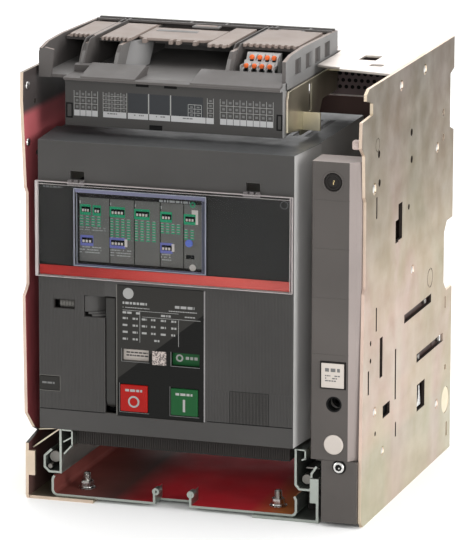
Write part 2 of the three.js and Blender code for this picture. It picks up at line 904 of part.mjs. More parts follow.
// Each flag is a slide behind its window, with a field above or below for the other state.
const FLAG_FRONT = COVER_FRONT + 4.5;

function flagSolid(place, z0, z1) {
  return block([place.left - 1, place.right + 1], [FLAG_FRONT, FLAG_FRONT + 1.6], [z0, z1]);
}

addPart(breaker, 'position_flag', flagSolid(STATE_WINDOW, 107, 132), greenPlastic);
addPart(breaker, 'spring_flag', flagSolid(SPRING_WINDOW, 107, 132), whitePlastic);

// ---------- breaker: charging lever ----------

const LEVER_PIVOT_Y = -124;
const LEVER_PIVOT_Z = 88;
const LEVER_RADIUS = 7;
const leverSide = [LEVER.left + 0.6, LEVER.right - 0.6];
const leverFront = LEVER_PIVOT_Y - LEVER_RADIUS;
const leverArm = cut(
  join(
    rod('x', LEVER_RADIUS, leverSide, [LEVER_PIVOT_Y, LEVER_PIVOT_Z], 24),
    sweptX(
      [
        [leverFront, LEVER_PIVOT_Z],
        [LEVER_PIVOT_Y + LEVER_RADIUS, LEVER_PIVOT_Z],
        [LEVER_PIVOT_Y + LEVER_RADIUS, 150],
        [LEVER_PIVOT_Y + 3, 170.5],
        [leverFront, 170.5],
      ],
      leverSide,
    ),
  ),
  rod('x', 2.8, [-60, -30], [LEVER_PIVOT_Y, LEVER_PIVOT_Z], 16),
);
addPart(breaker, 'charging_lever', leverArm, coverPlastic);
const leverPin = rod('x', 2.5, [-54, -40], [LEVER_PIVOT_Y, LEVER_PIVOT_Z], 16);
addPart(breaker, 'lever_pin', leverPin, brightSteel);

// ---------- breaker: mechanism ----------

const SPRING_X = -5;
const SPRING_Y = -101;
const SPRING_BOTTOM = 81;
const SPRING_TOP = 140;
const SPRING_COIL = 11;
const SPRING_WIRE = 1.5;
const SPRING_TURNS = 8;

const mechanismFrame = cut(
  join(
    block([-34, 36], [-88, -85], [78, 182]),
    block([-34, 36], [-117, -85], [78, SPRING_BOTTOM]),
    block([-34, 36], [-117, -85], [176, 179]),
    block([33, 36], [-117, -85], [78, 179]),
  ),
  rod('z', 4.6, [170, 185], [SPRING_X, SPRING_Y], 16),
);
addPart(breaker, 'mechanism_frame', mechanismFrame, zincSteel);

class Helix extends THREE.Curve {
  getPoint(t, target = new THREE.Vector3()) {
    const angle = 2 * Math.PI * SPRING_TURNS * t;
    const start = SPRING_BOTTOM + GAP + SPRING_WIRE;
    const end = SPRING_TOP - SPRING_WIRE;
    return target.set(
      SPRING_X + SPRING_COIL * Math.cos(angle),
      SPRING_Y + SPRING_COIL * Math.sin(angle),
      start + (end - start) * t,
    );
  }
}

function springSolid() {
  const sides = 6;
  const section = [];
  for (let i = 0; i < sides; i += 1) {
    const angle = (2 * Math.PI * i) / sides;
    section.push([SPRING_WIRE * Math.cos(angle), SPRING_WIRE * Math.sin(angle)]);
  }
  const options = { steps: SPRING_TURNS * 12, extrudePath: new Helix(), bevelEnabled: false };
  return solidFrom(new THREE.ExtrudeGeometry(outline(section), options));
}

addPart(breaker, 'closing_spring', springSolid(), brightSteel);

const springPusher = join(
  rod('z', 12.6, [SPRING_TOP + GAP, SPRING_TOP + 4], [SPRING_X, SPRING_Y], 24),
  rod('z', 4.2, [SPRING_TOP + 3, 189.5], [SPRING_X, SPRING_Y], 16),
);
addPart(breaker, 'spring_pusher', springPusher, brightSteel);

const mainShaft = rod('x', SHAFT_RADIUS, [-106, 106], [SHAFT_Y, SHAFT_Z], 32);
addPart(breaker, 'main_shaft', mainShaft, brightSteel);

const NUT = { front: -30, back: -8 };
const NUT_X = SCREW_X - BREAKER_X;
const NUT_LEFT = SEAM_HALF_WIDTH - 2;
const rackingNut = cut(
  join(
    block([NUT_LEFT, NUT_X - 9], [NUT.front, NUT.back], [SCREW_Z - 6, SCREW_Z + 6]),
    block([NUT_X - 11, NUT_X + 11], [NUT.front, NUT.back], [SCREW_Z - 11, SCREW_Z + 11]),
  ),
  rod('y', SCREW_RADIUS + GAP, [NUT.front - 5, NUT.back + 5], [NUT_X, SCREW_Z], 24),
);
addPart(breaker, 'racking_nut', rackingNut, brightSteel);

// ---------- breaker: poles ----------

const JAW_FRONT = HOUSING_BACK + 3;
const JAW_BACK = 73;
const JAW_LEAF = 3.5;

// A bar through the housing wall that ends in two leaves, one above and one below the blade.
function poleBarSolid(z, front) {
  const half = BAR_HALF_THICKNESS;
  const width = [-BAR_HALF_WIDTH, BAR_HALF_WIDTH];
  const inner = half + GAP;
  const outer = inner + JAW_LEAF;
  return join(
    block(width, [front, JAW_FRONT + 1], [z - half, z + half]),
    block(width, [JAW_FRONT, JAW_FRONT + 6], [z - outer, z + outer]),
    block(width, [JAW_FRONT + 5, JAW_BACK], [z + inner, z + outer]),
    block(width, [JAW_FRONT + 5, JAW_BACK], [z - outer, z - inner]),
  );
}

const CONTACT_Y = -28;

function upperBarSolid() {
  const pad = block(
    [-BAR_HALF_WIDTH, BAR_HALF_WIDTH],
    [CONTACT_Y + GAP, CONTACT_Y + 12],
    [198, UPPER_BAR_Z],
  );
  return join(poleBarSolid(UPPER_BAR_Z, CONTACT_Y + 1), pad);
}

function movingContactSolid() {
  const width = [-14, 14];
  return cut(
    join(
      rod('x', 15, width, [0, 0], 24),
      sweptX(
        [
          [-8, 0],
          [8, 0],
          [6, 88],
          [-6, 88],
        ],
        width,
      ),
      block(width, [4, CONTACT_Y - SHAFT_Y], [72, 86]),
    ),
    rod('x', SHAFT_RADIUS + GAP, [-20, 20], [0, 0], 24),
  );
}

function arcChuteSolid() {
  const plates = 8;
  const half = 31;
  const front = -70;
  const back = 38;
  const pitch = (back - front - 8) / plates;
  const slots = [];
  for (let i = 0; i < plates; i += 1) {
    const y = front + 5 + i * pitch;
    slots.push(block([-half + 3, half - 3], [y, y + pitch - 2.5], [225, 280]));
  }
  return cut(block([-half, half], [front, back], [230, 286]), ...slots);
}

poles.forEach((pole, index) => {
  const number = index + 1;
  const contact = addPart(pole, `moving_contact_${number}`, movingContactSolid(), silveredCopper);
  contact.position.set(0, SHAFT_Y, SHAFT_Z);
  contact.rotation.x = THREE.MathUtils.degToRad(CONTACT_OPENING_DEG);
  addPart(pole, `upper_pole_bar_${number}`, upperBarSolid(), silveredCopper);
  addPart(pole, `lower_pole_bar_${number}`, poleBarSolid(LOWER_BAR_Z, -20), silveredCopper);
  addPart(pole, `arc_chute_${number}`, arcChuteSolid(), whitePlastic);
});

export default group;
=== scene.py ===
"""Looks of a withdrawable air circuit breaker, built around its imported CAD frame.

Shapes are given in millimetres and turned into metres when a piece is made.
+X is right, +Y back and +Z up, as in the frame.
"""
import json
import math
import random

import bmesh
import bpy
from mathutils import Matrix, Vector


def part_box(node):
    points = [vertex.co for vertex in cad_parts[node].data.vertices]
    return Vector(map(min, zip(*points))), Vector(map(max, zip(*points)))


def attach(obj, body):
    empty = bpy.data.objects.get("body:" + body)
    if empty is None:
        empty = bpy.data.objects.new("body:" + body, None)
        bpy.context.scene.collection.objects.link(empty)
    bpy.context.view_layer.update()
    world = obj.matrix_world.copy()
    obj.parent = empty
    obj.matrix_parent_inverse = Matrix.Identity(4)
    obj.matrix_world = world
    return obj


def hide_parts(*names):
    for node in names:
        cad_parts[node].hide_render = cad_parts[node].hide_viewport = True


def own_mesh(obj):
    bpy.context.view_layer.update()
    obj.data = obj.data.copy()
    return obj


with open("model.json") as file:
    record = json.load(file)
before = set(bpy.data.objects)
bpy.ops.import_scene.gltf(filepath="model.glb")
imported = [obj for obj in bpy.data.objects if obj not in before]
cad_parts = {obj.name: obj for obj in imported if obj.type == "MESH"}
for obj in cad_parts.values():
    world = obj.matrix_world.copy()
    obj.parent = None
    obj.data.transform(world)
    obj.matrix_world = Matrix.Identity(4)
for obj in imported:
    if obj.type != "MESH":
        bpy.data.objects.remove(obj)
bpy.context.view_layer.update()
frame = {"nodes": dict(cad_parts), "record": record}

MM = 0.001
BODY_OF = {
    node: body
    for body, nodes in frame["record"]["behaviour"]["bodies"].items()
    for node in nodes
}


def extent(node):
    """The limits of a CAD node in millimetres: x0, x1, y0, y1, z0, z1."""
    low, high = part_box(node)
    return low.x / MM, high.x / MM, low.y / MM, high.y / MM, low.z / MM, high.z / MM


# ---------------------------------------------------------------- materials


class Nodes:
    """A small wrapper that builds one node material."""

    def __init__(self, name):
        self.material = bpy.data.materials.new(name)
        self.material.use_nodes = True
        self.tree = self.material.node_tree
        self.shader = self.tree.nodes["Principled BSDF"]
        self.coords = self.tree.nodes.new("ShaderNodeTexCoord").outputs["Object"]

    def put(self, **values):
        """Sets the shader's own sockets."""
        for name, value in values.items():
            self.shader.inputs[name.replace("_", " ")].default_value = value

    def link(self, output, target):
        self.tree.links.new(output, target)

    def node(self, kind, **values):
        """A new node of the tree with some of its inputs set."""
        node = self.tree.nodes.new("ShaderNode" + kind)
        for name, value in values.items():
            node.inputs[name.replace("_", " ")].default_value = value
        return node

    def noise(self, scale, detail=3, stretch=(1, 1, 1), distortion=0.0):
        mapping = self.node("Mapping", Scale=stretch)
        self.link(self.coords, mapping.inputs["Vector"])
        node = self.node("TexNoise", Scale=scale, Detail=detail, Distortion=distortion)
        self.link(mapping.outputs["Vector"], node.inputs["Vector"])
        return node.outputs["Fac"]

    def ramp(self, factor, stops):
        node = self.node("ValToRGB")
        elements = node.color_ramp.elements
        while len(elements) < len(stops):
            elements.new(0.5)
        for element, (place, colour) in zip(elements, stops):
            element.position = place
            element.color = (*colour, 1)
        self.link(factor, node.inputs["Fac"])
        return node.outputs["Color"]

    def between(self, factor, start, end, low=0.0, high=1.0):
        """Maps a factor's stretch from start to end onto low to high."""
        node = self.node("MapRange", From_Min=start, From_Max=end, To_Min=low, To_Max=high)
        self.link(factor, node.inputs["Value"])
        return node.outputs["Result"]

    def along(self, axis, start, end):
        """A factor that grows from 0 to 1 between two places, in millimetres, on one axis."""
        split = self.node("SeparateXYZ")
        self.link(self.coords, split.inputs["Vector"])
        return self.between(split.outputs[axis], start * MM, end * MM)

    def slant(self, slope, level):
        """A factor that passes 0.5 on the line z = level + slope * x, in millimetres."""
        node = self.node("VectorMath")
        node.operation = "DOT_PRODUCT"
        node.inputs[1].default_value = (-slope, 0, 1)
        self.link(self.coords, node.inputs[0])
        return self.between(node.outputs["Value"], (level - 50) * MM, (level + 50) * MM)

    def mix(self, factor, first, second, mode="MULTIPLY"):
        node = self.node("Mix")
        node.data_type = "RGBA"
        node.blend_type = mode
        if isinstance(factor, float):
            node.inputs["Factor"].default_value = factor
        else:
            self.link(factor, node.inputs["Factor"])
        for key, value in (("A", first), ("B", second)):
            socket = [s for s in node.inputs if s.name == key and s.type == "RGBA"][0]
            if isinstance(value, tuple):
                socket.default_value = (*value, 1)
            else:
                self.link(value, socket)
        return [s for s in node.outputs if s.type == "RGBA"][0]

    def clouds(self, colour, scale, detail, dark, light):
        """One colour that drifts softly between a darker and a lighter tone."""
        return self.ramp(self.noise(scale, detail), [(0.3, tone(colour, dark)), (0.7, tone(colour, light))])

    def colour(self, output):
        self.link(output, self.shader.inputs["Base Color"])

    def rough(self, factor, low, high):
        self.link(self.between(factor, 0.3, 0.7, low, high), self.shader.inputs["Roughness"])

    def bump(self, height, strength, distance):
        node = self.node("Bump", Strength=strength, Distance=distance * MM)
        self.link(height, node.inputs["Height"])
        self.link(node.outputs["Normal"], self.shader.inputs["Normal"])


def tone(colour, factor):
    return tuple(min(channel * factor, 1.0) for channel in colour)


def plastic(name, colour, roughness=0.5, grain=0.12, shine=0.3):
    """Moulded plastic: fine spark-eroded grain, faint flow clouds and uneven sheen."""
    m = Nodes(name)
    m.colour(m.clouds(colour, 14, 4, 0.9, 1.1))
    m.rough(m.noise(60, 3), roughness - 0.06, roughness + 0.06)
    m.bump(m.noise(1500, 2), grain, 0.15)
    m.put(Specular_IOR_Level=shine)
    return m.material


def gloss(name, colour, roughness=0.12, sheen=None):
    """Polished sheet with a faint orange peel and, if wanted, a slanting band of painted reflection."""
    m = Nodes(name)
    base = m.clouds(colour, 9, 2, 0.94, 1.06)
    # sheen paints a lighter band of base colour above a slanting line: a painted reflection.
    if sheen:
        level, slope, edge, strength = sheen
        band = m.ramp(m.slant(slope, level), [(0.5 - edge, (0,) * 3), (0.5, (1,) * 3)])
        base = m.mix(band, base, strength, "MIX")
    m.colour(base)
    m.put(Specular_IOR_Level=0.1)
    m.rough(m.noise(30, 2), roughness - 0.03, roughness + 0.05)
    m.bump(m.noise(220, 1), 0.02, 0.1)
    return m.material


def metal(name, colour, roughness=0.3, stretch=(1, 1, 1), scale=500, bump=0.05):
    """Plain metal with fine scratches along its long side."""
    m = Nodes(name)
    m.colour(m.clouds(colour, 25, 5, 0.86, 1.08))
    m.rough(m.noise(scale, 4, stretch), roughness - 0.08, roughness + 0.1)
    m.bump(m.noise(scale, 3, stretch), bump, 0.08)
    m.put(Metallic=1.0)
    return m.material


def chromate(name, stops, roughness=0.36, painted_shade_by_height=None):
    """Zinc plate with a chromate film: cloudy hues that drift between yellow, pink and green, and, if given,
    painted shade by height.
    """
    m = Nodes(name)
    clouds = m.ramp(m.noise(9, 3, (1, 1, 0.55), 0.9), stops)
    streaks = m.ramp(m.noise(60, 5, (1, 0.12, 1)), [(0.3, (0.86,) * 3), (0.7, (1.0,) * 3)])
    film = m.mix(1.0, clouds, streaks)
    # Painted shade: the film is darkened towards the top of the plate and left lighter towards the bottom.
    if painted_shade_by_height:
        film = m.mix(1.0, film, m.ramp(m.along("Z", 0, PLATE_HEIGHT), painted_shade_by_height))
    m.colour(film)
    m.rough(m.noise(45, 5), roughness - 0.08, roughness + 0.1)
    m.bump(m.noise(900, 3, (1, 0.3, 1)), 0.05, 0.06)
    m.put(Metallic=0.85)
    return m.material


def stained(name, stops, axis, start, end, roughness, shine=0.06, depth=None):
    """Sheet steel whose inner face shows deep colours that change along one axis and, if given, painted light
    that changes from front to back.
    """
    m = Nodes(name)
    clouds = m.ramp(m.noise(7, 3, distortion=0.8), [(0.3, (0.62,) * 3), (0.7, (1.15,) * 3)])
    base = m.mix(1.0, m.ramp(m.along(axis, start, end), stops), clouds)
    # depth multiplies in painted light that changes along Y, from front to back.
    if depth:
        base = m.mix(1.0, base, m.ramp(m.along("Y", -118, 115), depth))
    m.colour(base)
    m.rough(m.noise(40, 4), roughness - 0.06, roughness + 0.1)
    m.bump(m.noise(500, 3), 0.04, 0.06)
    m.put(Specular_IOR_Level=shine)
    return m.material


def clear_plastic(name):
    """Clear polycarbonate."""
    m = Nodes(name)
    m.colour(m.ramp(m.noise(20, 2), [(0.3, (0.86, 0.88, 0.90)), (0.7, (0.93, 0.94, 0.95))]))
    m.rough(m.noise(80, 3), 0.02, 0.07)
    m.put(Transmission_Weight=1.0, IOR=1.08, Specular_IOR_Level=0.3)
    return m.material


def clear_edge(name, colour):
    """A painted highlight or painted shade on the cut edge of a clear sheet."""
    m = Nodes(name)
    m.colour(m.clouds(colour, 30, 3, 0.85, 1.1))
    m.rough(m.noise(90, 3), 0.08, 0.2)
    m.put(Transmission_Weight=0.55, IOR=1.4)
    return m.material


def code_pattern(name):
    """A square of random light and dark cells."""
    m = Nodes(name)
    cells = m.node("TexWhiteNoise")
    snap = m.node("VectorMath")
    snap.operation = "SNAP"
    snap.inputs[1].default_value = (0.75 * MM,) * 3
    m.link(m.coords, snap.inputs[0])
    m.link(snap.outputs["Vector"], cells.inputs["Vector"])
    m.colour(m.ramp(cells.outputs["Value"], [(0.42, (0.09, 0.075, 0.07)), (0.58, (0.40, 0.34, 0.31))]))
    m.put(Roughness=0.5)
    return m.material


PLATE_HEIGHT = 345
BEIGE = (0.78, 0.68, 0.50)
PINK = (0.84, 0.67, 0.57)
OLIVE = (0.68, 0.66, 0.46)
PALE = (0.88, 0.82, 0.68)
FILM = [(0.25, OLIVE), (0.45, BEIGE), (0.58, PINK), (0.75, PALE)]
# Painted shade for the side plates: a multiplier that darkens the film from the bottom towards the top.
PLATE_PAINTED_SHADE = [
    (0.0, (0.64, 0.64, 0.63)),
    (0.15, (0.54, 0.55, 0.52)),
    (0.18, (0.585, 0.55, 0.52)),
    (0.5, (0.53, 0.47, 0.43)),
    (0.75, (0.26, 0.22, 0.175)),
    (1.0, (0.14, 0.112, 0.078)),
]

PLASTICS = {
    "cover": ((0.042, 0.040, 0.038), 0.5),
    "cover_top": ((0.054, 0.053, 0.051), 0.48),
    "cover_band": ((0.032, 0.029, 0.026), 0.5),
    # Painted light: a much lighter copy of the cover plastic for its upright side faces, standing in for
    # light from the right.
    "cover_side_painted_light": ((0.42, 0.41, 0.40), 0.45),
    "cover_roof": ((0.080, 0.082, 0.083), 0.45),
    "seam": ((0.006, 0.006, 0.006), 0.7, 0.12, 0.1),
    "dark": ((0.016, 0.014, 0.013), 0.5, 0.12, 0.15),
    "grille": ((0.036, 0.032, 0.030), 0.6, 0.12, 0.1),
    # Painted shade: a dark plastic for the walls of the side plates' slots, standing in for the shade inside
    # them.
    "slot_wall_painted_shade": ((0.026, 0.020, 0.017), 0.5, 0.12, 0.15),
    "badge": ((0.26, 0.26, 0.25), 0.5, 0.0),
    "lever": ((0.021, 0.020, 0.018), 0.4),
    "column": ((0.068, 0.060, 0.055), 0.5),
    # Painted light: lighter copies of the column plastic for its right chamfer and its top.
    "column_pale": ((0.225, 0.19, 0.177), 0.45),
    "column_painted_lit_roof": ((0.34, 0.295, 0.278), 0.45),
    "box": ((0.092, 0.084, 0.080), 0.55),
    # Painted light: a lighter copy of the box plastic for its right-hand faces.
    "box_side": ((0.215, 0.211, 0.208), 0.55),
    "box_front": ((0.040, 0.038, 0.036), 0.5),
    "label_ground": ((0.020, 0.022, 0.025), 0.45, 0.0),
    "label_white": ((0.36, 0.36, 0.36), 0.45, 0.0),
    # Painted light: a lighter, warmer copy of the box plastic for its top faces and roof plates.
    "box_top": ((0.262, 0.212, 0.185), 0.6),
    # Painted light: a lighter copy of the box plastic for the low bay floor and small pits, where shade
    # falls.
    "box_deep": ((0.15, 0.143, 0.138), 0.6),
    "pale_grey": ((0.46, 0.45, 0.44), 0.5),
    "orange": ((0.85, 0.16, 0.035), 0.42),
    "white": ((0.465, 0.42, 0.38), 0.5),
    "pink_white": ((0.50, 0.40, 0.37), 0.5),
    "print": ((0.27, 0.27, 0.262), 0.6, 0.0),
    "bold_print": ((0.60, 0.58, 0.55), 0.6, 0.0),
    "faint_print": ((0.12, 0.12, 0.118), 0.6, 0.0),
    "red_button": ((0.28, 0.006, 0.004), 0.38, 0.04, 0.15),
    "green_button": ((0.007, 0.064, 0.018), 0.38, 0.04, 0.15),
    "green": ((0.012, 0.24, 0.11), 0.45, 0.03, 0.2),
    "violet": ((0.11, 0.12, 0.34), 0.45, 0.03, 0.2),
    "blue": ((0.09, 0.13, 0.42), 0.35, 0.03, 0.2),
    "trip_face": ((0.105, 0.101, 0.092), 0.5, 0.06, 0.2),
    "brown": ((0.050, 0.028, 0.024), 0.55, 0.2),
    "vent": ((0.150, 0.110, 0.108), 0.6, 0.1),
    "chute": ((0.42, 0.39, 0.35), 0.65, 0.2),
}
METALS = {
    "pale_steel": ((0.62, 0.62, 0.61), 0.42, (1, 0.2, 1), 260),
    "green_steel": ((0.38, 0.41, 0.375), 0.42, (1, 0.2, 1), 260),
    "white_steel": ((0.62, 0.57, 0.53), 0.5, (1, 0.3, 1), 260, 0.03),
    "bright": ((0.66, 0.65, 0.63), 0.26, (1, 1, 0.1)),
    "dull_steel": ((0.20, 0.19, 0.175), 0.4, (1, 1, 0.1)),
    "trim": ((0.26, 0.25, 0.25), 0.35, (1, 1, 0.1)),
    "brass": ((0.66, 0.52, 0.27), 0.28),
    "silver_bar": ((0.74, 0.70, 0.64), 0.34, (1, 0.1, 1), 340),
    "copper": ((0.78, 0.44, 0.30), 0.32, (1, 0.1, 1), 340),
}
M = {name: plastic(name, *values) for name, values in PLASTICS.items()}
M.update({name: metal(name, *values) for name, values in METALS.items()})
M["zinc"] = chromate("zinc", FILM)
M["zinc_plate"] = chromate("zinc_plate", FILM, painted_shade_by_height=PLATE_PAINTED_SHADE)
DULL_FILM = [
    (0.3, (0.48, 0.46, 0.32)),
    (0.48, (0.64, 0.58, 0.44)),
    (0.6, (0.46, 0.34, 0.30)),
    (0.72, (0.68, 0.68, 0.54)),
]
M["zinc_dark"] = chromate("zinc_dark", DULL_FILM)
M["edge_zinc"] = chromate("edge_zinc", [(0.3, (0.66, 0.57, 0.42)), (0.6, (0.68, 0.52, 0.44))], 0.5)
# Painted reflection on the rating panel: lighter base colour above a slanting line, standing in for a
# reflected softbox.
PANEL_PAINTED_REFLECTION = (153.2, 0.79, 0.004, (0.024, 0.023, 0.021))
M["panel"] = gloss("panel", (0.006, 0.006, 0.0055), 0.16, PANEL_PAINTED_REFLECTION)
M["fascia"] = gloss("fascia", (0.027, 0.026, 0.024), 0.2)
# The tray's red is its own colour, but its base is raised to stand in for light that does not reach the floor
# under the breaker: partly painted light.
TRAY_HUES = [
    (0.0, (0.42, 0.12, 0.10)),
    (0.25, (0.16, 0.075, 0.066)),
    (0.42, (0.86, 0.034, 0.050)),
    (0.8, (0.80, 0.034, 0.050)),
    (0.93, (0.62, 0.21, 0.06)),
]
# Painted light on the tray floor: darker at the front, brightest towards the middle where the breaker shades
# it, dimmer again at the back.
TRAY_PAINTED_LIGHT_LEVELS = ((0.0, 0.42), (0.2, 0.8), (0.45, 1.0), (0.75, 0.9), (1.0, 0.5))
TRAY_PAINTED_LIGHT = [(at, (level,) * 3) for at, level in TRAY_PAINTED_LIGHT_LEVELS]
M["tray_inside"] = stained("tray_inside", TRAY_HUES, "X", -119, 85, 0.5, 0.012, TRAY_PAINTED_LIGHT)
BAND_HUES = [(0.0, (0.47, 0.034, 0.028)), (1.0, (0.62, 0.125, 0.105))]
M["red"] = stained("red", BAND_HUES, "X", -125, 84, 0.35)
# The wine red of the left plate's inner face is its own colour, but its base is raised to stand in for light
# that does not reach this shaded face: partly painted light.
PLATE_HUES = [
    (0.0, (0.10, 0.06, 0.05)),
    (0.13, (0.12, 0.05, 0.05)),
    (0.2, (0.46, 0.10, 0.11)),
    (0.895, (0.44, 0.11, 0.12)),
    (0.912, (0.062, 0.052, 0.050)),
]
M["plate_inside"] = stained("plate_inside", PLATE_HUES, "Z", 0, PLATE_HEIGHT, 0.4)
M["clear"] = clear_plastic("clear")
M["code"] = code_pattern("code")
# Painted light on the clear sheet's edges: bright colours for painted highlights on the rim, window frame and
# hinge knuckles, a lit colour for the window bevel's top bar and a shaded colour for its lower and right
# bars.
EDGES = {
    "edge": (0.72, 0.66, 0.65),
    "edge_blue": (0.46, 0.48, 0.56),
    "painted_bevel_highlight": (0.24, 0.245, 0.37),
    "painted_bevel_shade": (0.055, 0.062, 0.10),
    "knuckle": (0.22, 0.20, 0.20),
}
M.update({name: clear_edge(name, colour) for name, colour in EDGES.items()})


# ---------------------------------------------------------------- shapes

AXES = {"x": (1, 2, 0), "y": (0, 2, 1), "z": (0, 1, 2)}


def placed(axis, a, b, along):
    """A point from its two places across an axis, in X, Y, Z order, and its place along it."""
    i, j, k = AXES[axis]
    point = [0.0, 0.0, 0.0]
    point[i], point[j], point[k] = a, b, along
    return point


def circle(axis, centre, radius, along, sides):
    """The points of a circle round an axis."""
    angles = [2 * math.pi * i / sides for i in range(sides)]
    a, b = centre
    return [placed(axis, a + radius * math.cos(t), b + radius * math.sin(t), along) for t in angles]


class Shape:
    """Collects closed solids, in millimetres, that become one piece on a body."""

    def __init__(self, body="cradle"):
        self.bm = bmesh.new()
        self.body = body

    def _skin(self, loops, faces, tint):
        """Joins each loop of points to the next with quads."""
        for low, high in zip(loops, loops[1:]):
            for i, vert in enumerate(low):
                j = (i + 1) % len(low)
                faces.append(self.bm.faces.new((vert, low[j], high[j], high[i])))
        for face in faces:
            face.material_index = tint
        bmesh.ops.recalc_face_normals(self.bm, faces=faces)
        return self

    def _loft(self, rings, tint):
        """Closes a stack of equal rings into a solid."""
        loops = [[self.bm.verts.new(Vector(p) * MM) for p in ring] for ring in rings]
        ends = [self.bm.faces.new(loops[0]), self.bm.faces.new(loops[-1])]
        return self._skin(loops, ends, tint)

    def box(self, x, y, z, tint=0):
        ring = [(x[0], y[0]), (x[1], y[0]), (x[1], y[1]), (x[0], y[1])]
        return self._loft([[(a, b, c) for a, b in ring] for c in z], tint)

    def prism(self, axis, outline, span, tint=0):
        rings = [[placed(axis, a, b, c) for a, b in outline] for c in span]
        return self._loft(rings, tint)

    def turned(self, axis, centre, profile, sides=40, tint=0):
        """Stacks circles of the profile's (radius, place) pairs along an axis."""
        rings = [circle(axis, centre, radius, along, sides) for radius, along in profile]
        return self._loft(rings, tint)

    def rod(self, axis, radius, span, centre, sides=40, tint=0):
        return self.turned(axis, centre, [(radius, span[0]), (radius, span[1])], sides, tint)

    def ring(self, axis, outer, inner, span, centre, sides=48, tint=0):
        """A flat ring, closed through its bore."""
        corners = [(outer, span[0]), (outer, span[1]), (inner, span[1]), (inner, span[0])]
        loops = []
        for radius, along in corners:
            points = circle(axis, centre, radius, along, sides)
            loops.append([self.bm.verts.new(Vector(p) * MM) for p in points])
        return self._skin(loops + [loops[0]], [], tint)

    def frame_xz(self, x, z, y, width, tint=0):
        """A rectangular frame in the XZ plane."""
        self.box((x[0], x[1]), y, (z[1] - width, z[1]), tint)
        self.box((x[0], x[1]), y, (z[0], z[0] + width), tint)
        self.box((x[0], x[0] + width), y, (z[0] + width, z[1] - width), tint)
        self.box((x[1] - width, x[1]), y, (z[0] + width, z[1] - width), tint)
        return self

    def piece(self, name, materials, bevel=0.0, segments=2, node=None, slot=None):
        """Makes the piece. With node it stands for that CAD node and rides on the same body."""
        if bevel:
            soften(self.bm, bevel, segments)
        mesh = bpy.data.meshes.new(name)
        self.bm.to_mesh(mesh)
        self.bm.free()
        return finished(name, mesh, materials, self.body, node)


def boxes(name, materials, spans, bevel=0.0, segments=2, body="cradle", **kind):
    """A piece made of boxes, each given by its x, y and z spans."""
    shape = Shape(body)
    for x, y, z in spans:
        shape.box(x, y, z)
    return shape.piece(name, materials, bevel, segments, **kind)


def soften(bm, bevel, segments=2):
    """Rounds every edge that turns by more than 25 degrees."""
    edges = [e for e in bm.edges if e.is_manifold and e.calc_face_angle(0) > math.radians(25)]
    bmesh.ops.bevel(
        bm, geom=edges, offset=bevel * MM, segments=segments, profile=0.5,
        affect="EDGES", clamp_overlap=True,
    )


def linked(name, data):
    obj = bpy.data.objects.new(name, data)
    bpy.context.scene.collection.objects.link(obj)
    return obj


def finished(name, mesh, materials, body, node=None):
    """Makes a piece from a mesh: its materials, its shading, the body it rides on."""
    materials = [materials] if isinstance(materials, str) else materials
    for material in materials:
        mesh.materials.append(M[material])
    obj = linked(name, mesh)
    mesh.shade_smooth()
    mesh.set_sharp_from_angle(angle=math.radians(38))
    weighted = obj.modifiers.new("normals", "WEIGHTED_NORMAL")
    weighted.keep_sharp = True
    if node:
        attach(obj, BODY_OF[node])
        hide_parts(node)
    else:
        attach(obj, body)
    return obj


def refine(node, materials, bevel=0.3, segments=2, cutters=None, tint=None):
    """The CAD node's own shape with softened edges and, if wanted, more cuts.

    tint gives a face's material from its middle and its normal."""
    bm = bmesh.new()
    bm.from_mesh(frame["nodes"][node].data)
    bmesh.ops.remove_doubles(bm, verts=bm.verts, dist=1e-6)
    if cutters:
        bm = carved(bm, cutters)
    bmesh.ops.dissolve_limit(bm, angle_limit=math.radians(0.5), verts=bm.verts, edges=bm.edges)
    if bevel:
        soften(bm, bevel, segments)
    for face in bm.faces:
        face.material_index = tint(face.calc_center_median() / MM, face.normal) if tint else 0
    mesh = bpy.data.meshes.new(node + "_skin")
    bm.to_mesh(mesh)
    bm.free()
    return finished(node + "_skin", mesh, materials, BODY_OF[node], node=node)


def carved(bm, cutters):
    """Cuts the cutters' solids out of a mesh."""
    objects = []
    for name, source in (("work", bm), ("cutters", cutters.bm)):
        mesh = bpy.data.meshes.new(name)
        source.to_mesh(mesh)
        source.free()
        objects.append(linked(name, mesh))
    work, tool = objects
    cut = work.modifiers.new("cut", "BOOLEAN")
    cut.operation = "DIFFERENCE"
    cut.solver = "EXACT"
    cut.use_self = True
    cut.object = tool
    graph = bpy.context.evaluated_depsgraph_get()
    result = bmesh.new()
    result.from_mesh(work.evaluated_get(graph).to_mesh())
    for obj in objects:
        bpy.data.objects.remove(obj)
    return result


# ---------------------------------------------------------------- camera, light and floor

FOCAL_LENGTH = 310.2
CAMERA_PLACE = (1.1079, -3.4716, 0.9977)
CAMERA_AZIMUTH = 17.74
CAMERA_ELEVATION = 12.81
CAMERA_ROLL = 0.14


def add_camera():
    camera = bpy.data.cameras.new("camera")
    camera.lens = FOCAL_LENGTH
    camera.sensor_width = 36
    camera.clip_end = 50
    obj = linked("camera", camera)
    turn = Matrix.Rotation(math.radians(CAMERA_AZIMUTH), 4, "Z")
    tilt = Matrix.Rotation(math.radians(90 - CAMERA_ELEVATION), 4, "X")
    roll = Matrix.Rotation(math.radians(CAMERA_ROLL), 4, "Z")
    obj.matrix_world = Matrix.Translation(CAMERA_PLACE) @ turn @ tilt @ roll
    bpy.context.scene.camera = obj


def add_light(name, place, target, size, power):
    light = bpy.data.lights.new(name, "AREA")
    light.shape = "RECTANGLE"
    light.size, light.size_y = size
    light.energy = power
    obj = linked(name, light)
    obj.location = place
    obj.rotation_euler = (Vector(target) - Vector(place)).to_track_quat("-Z", "Y").to_euler()


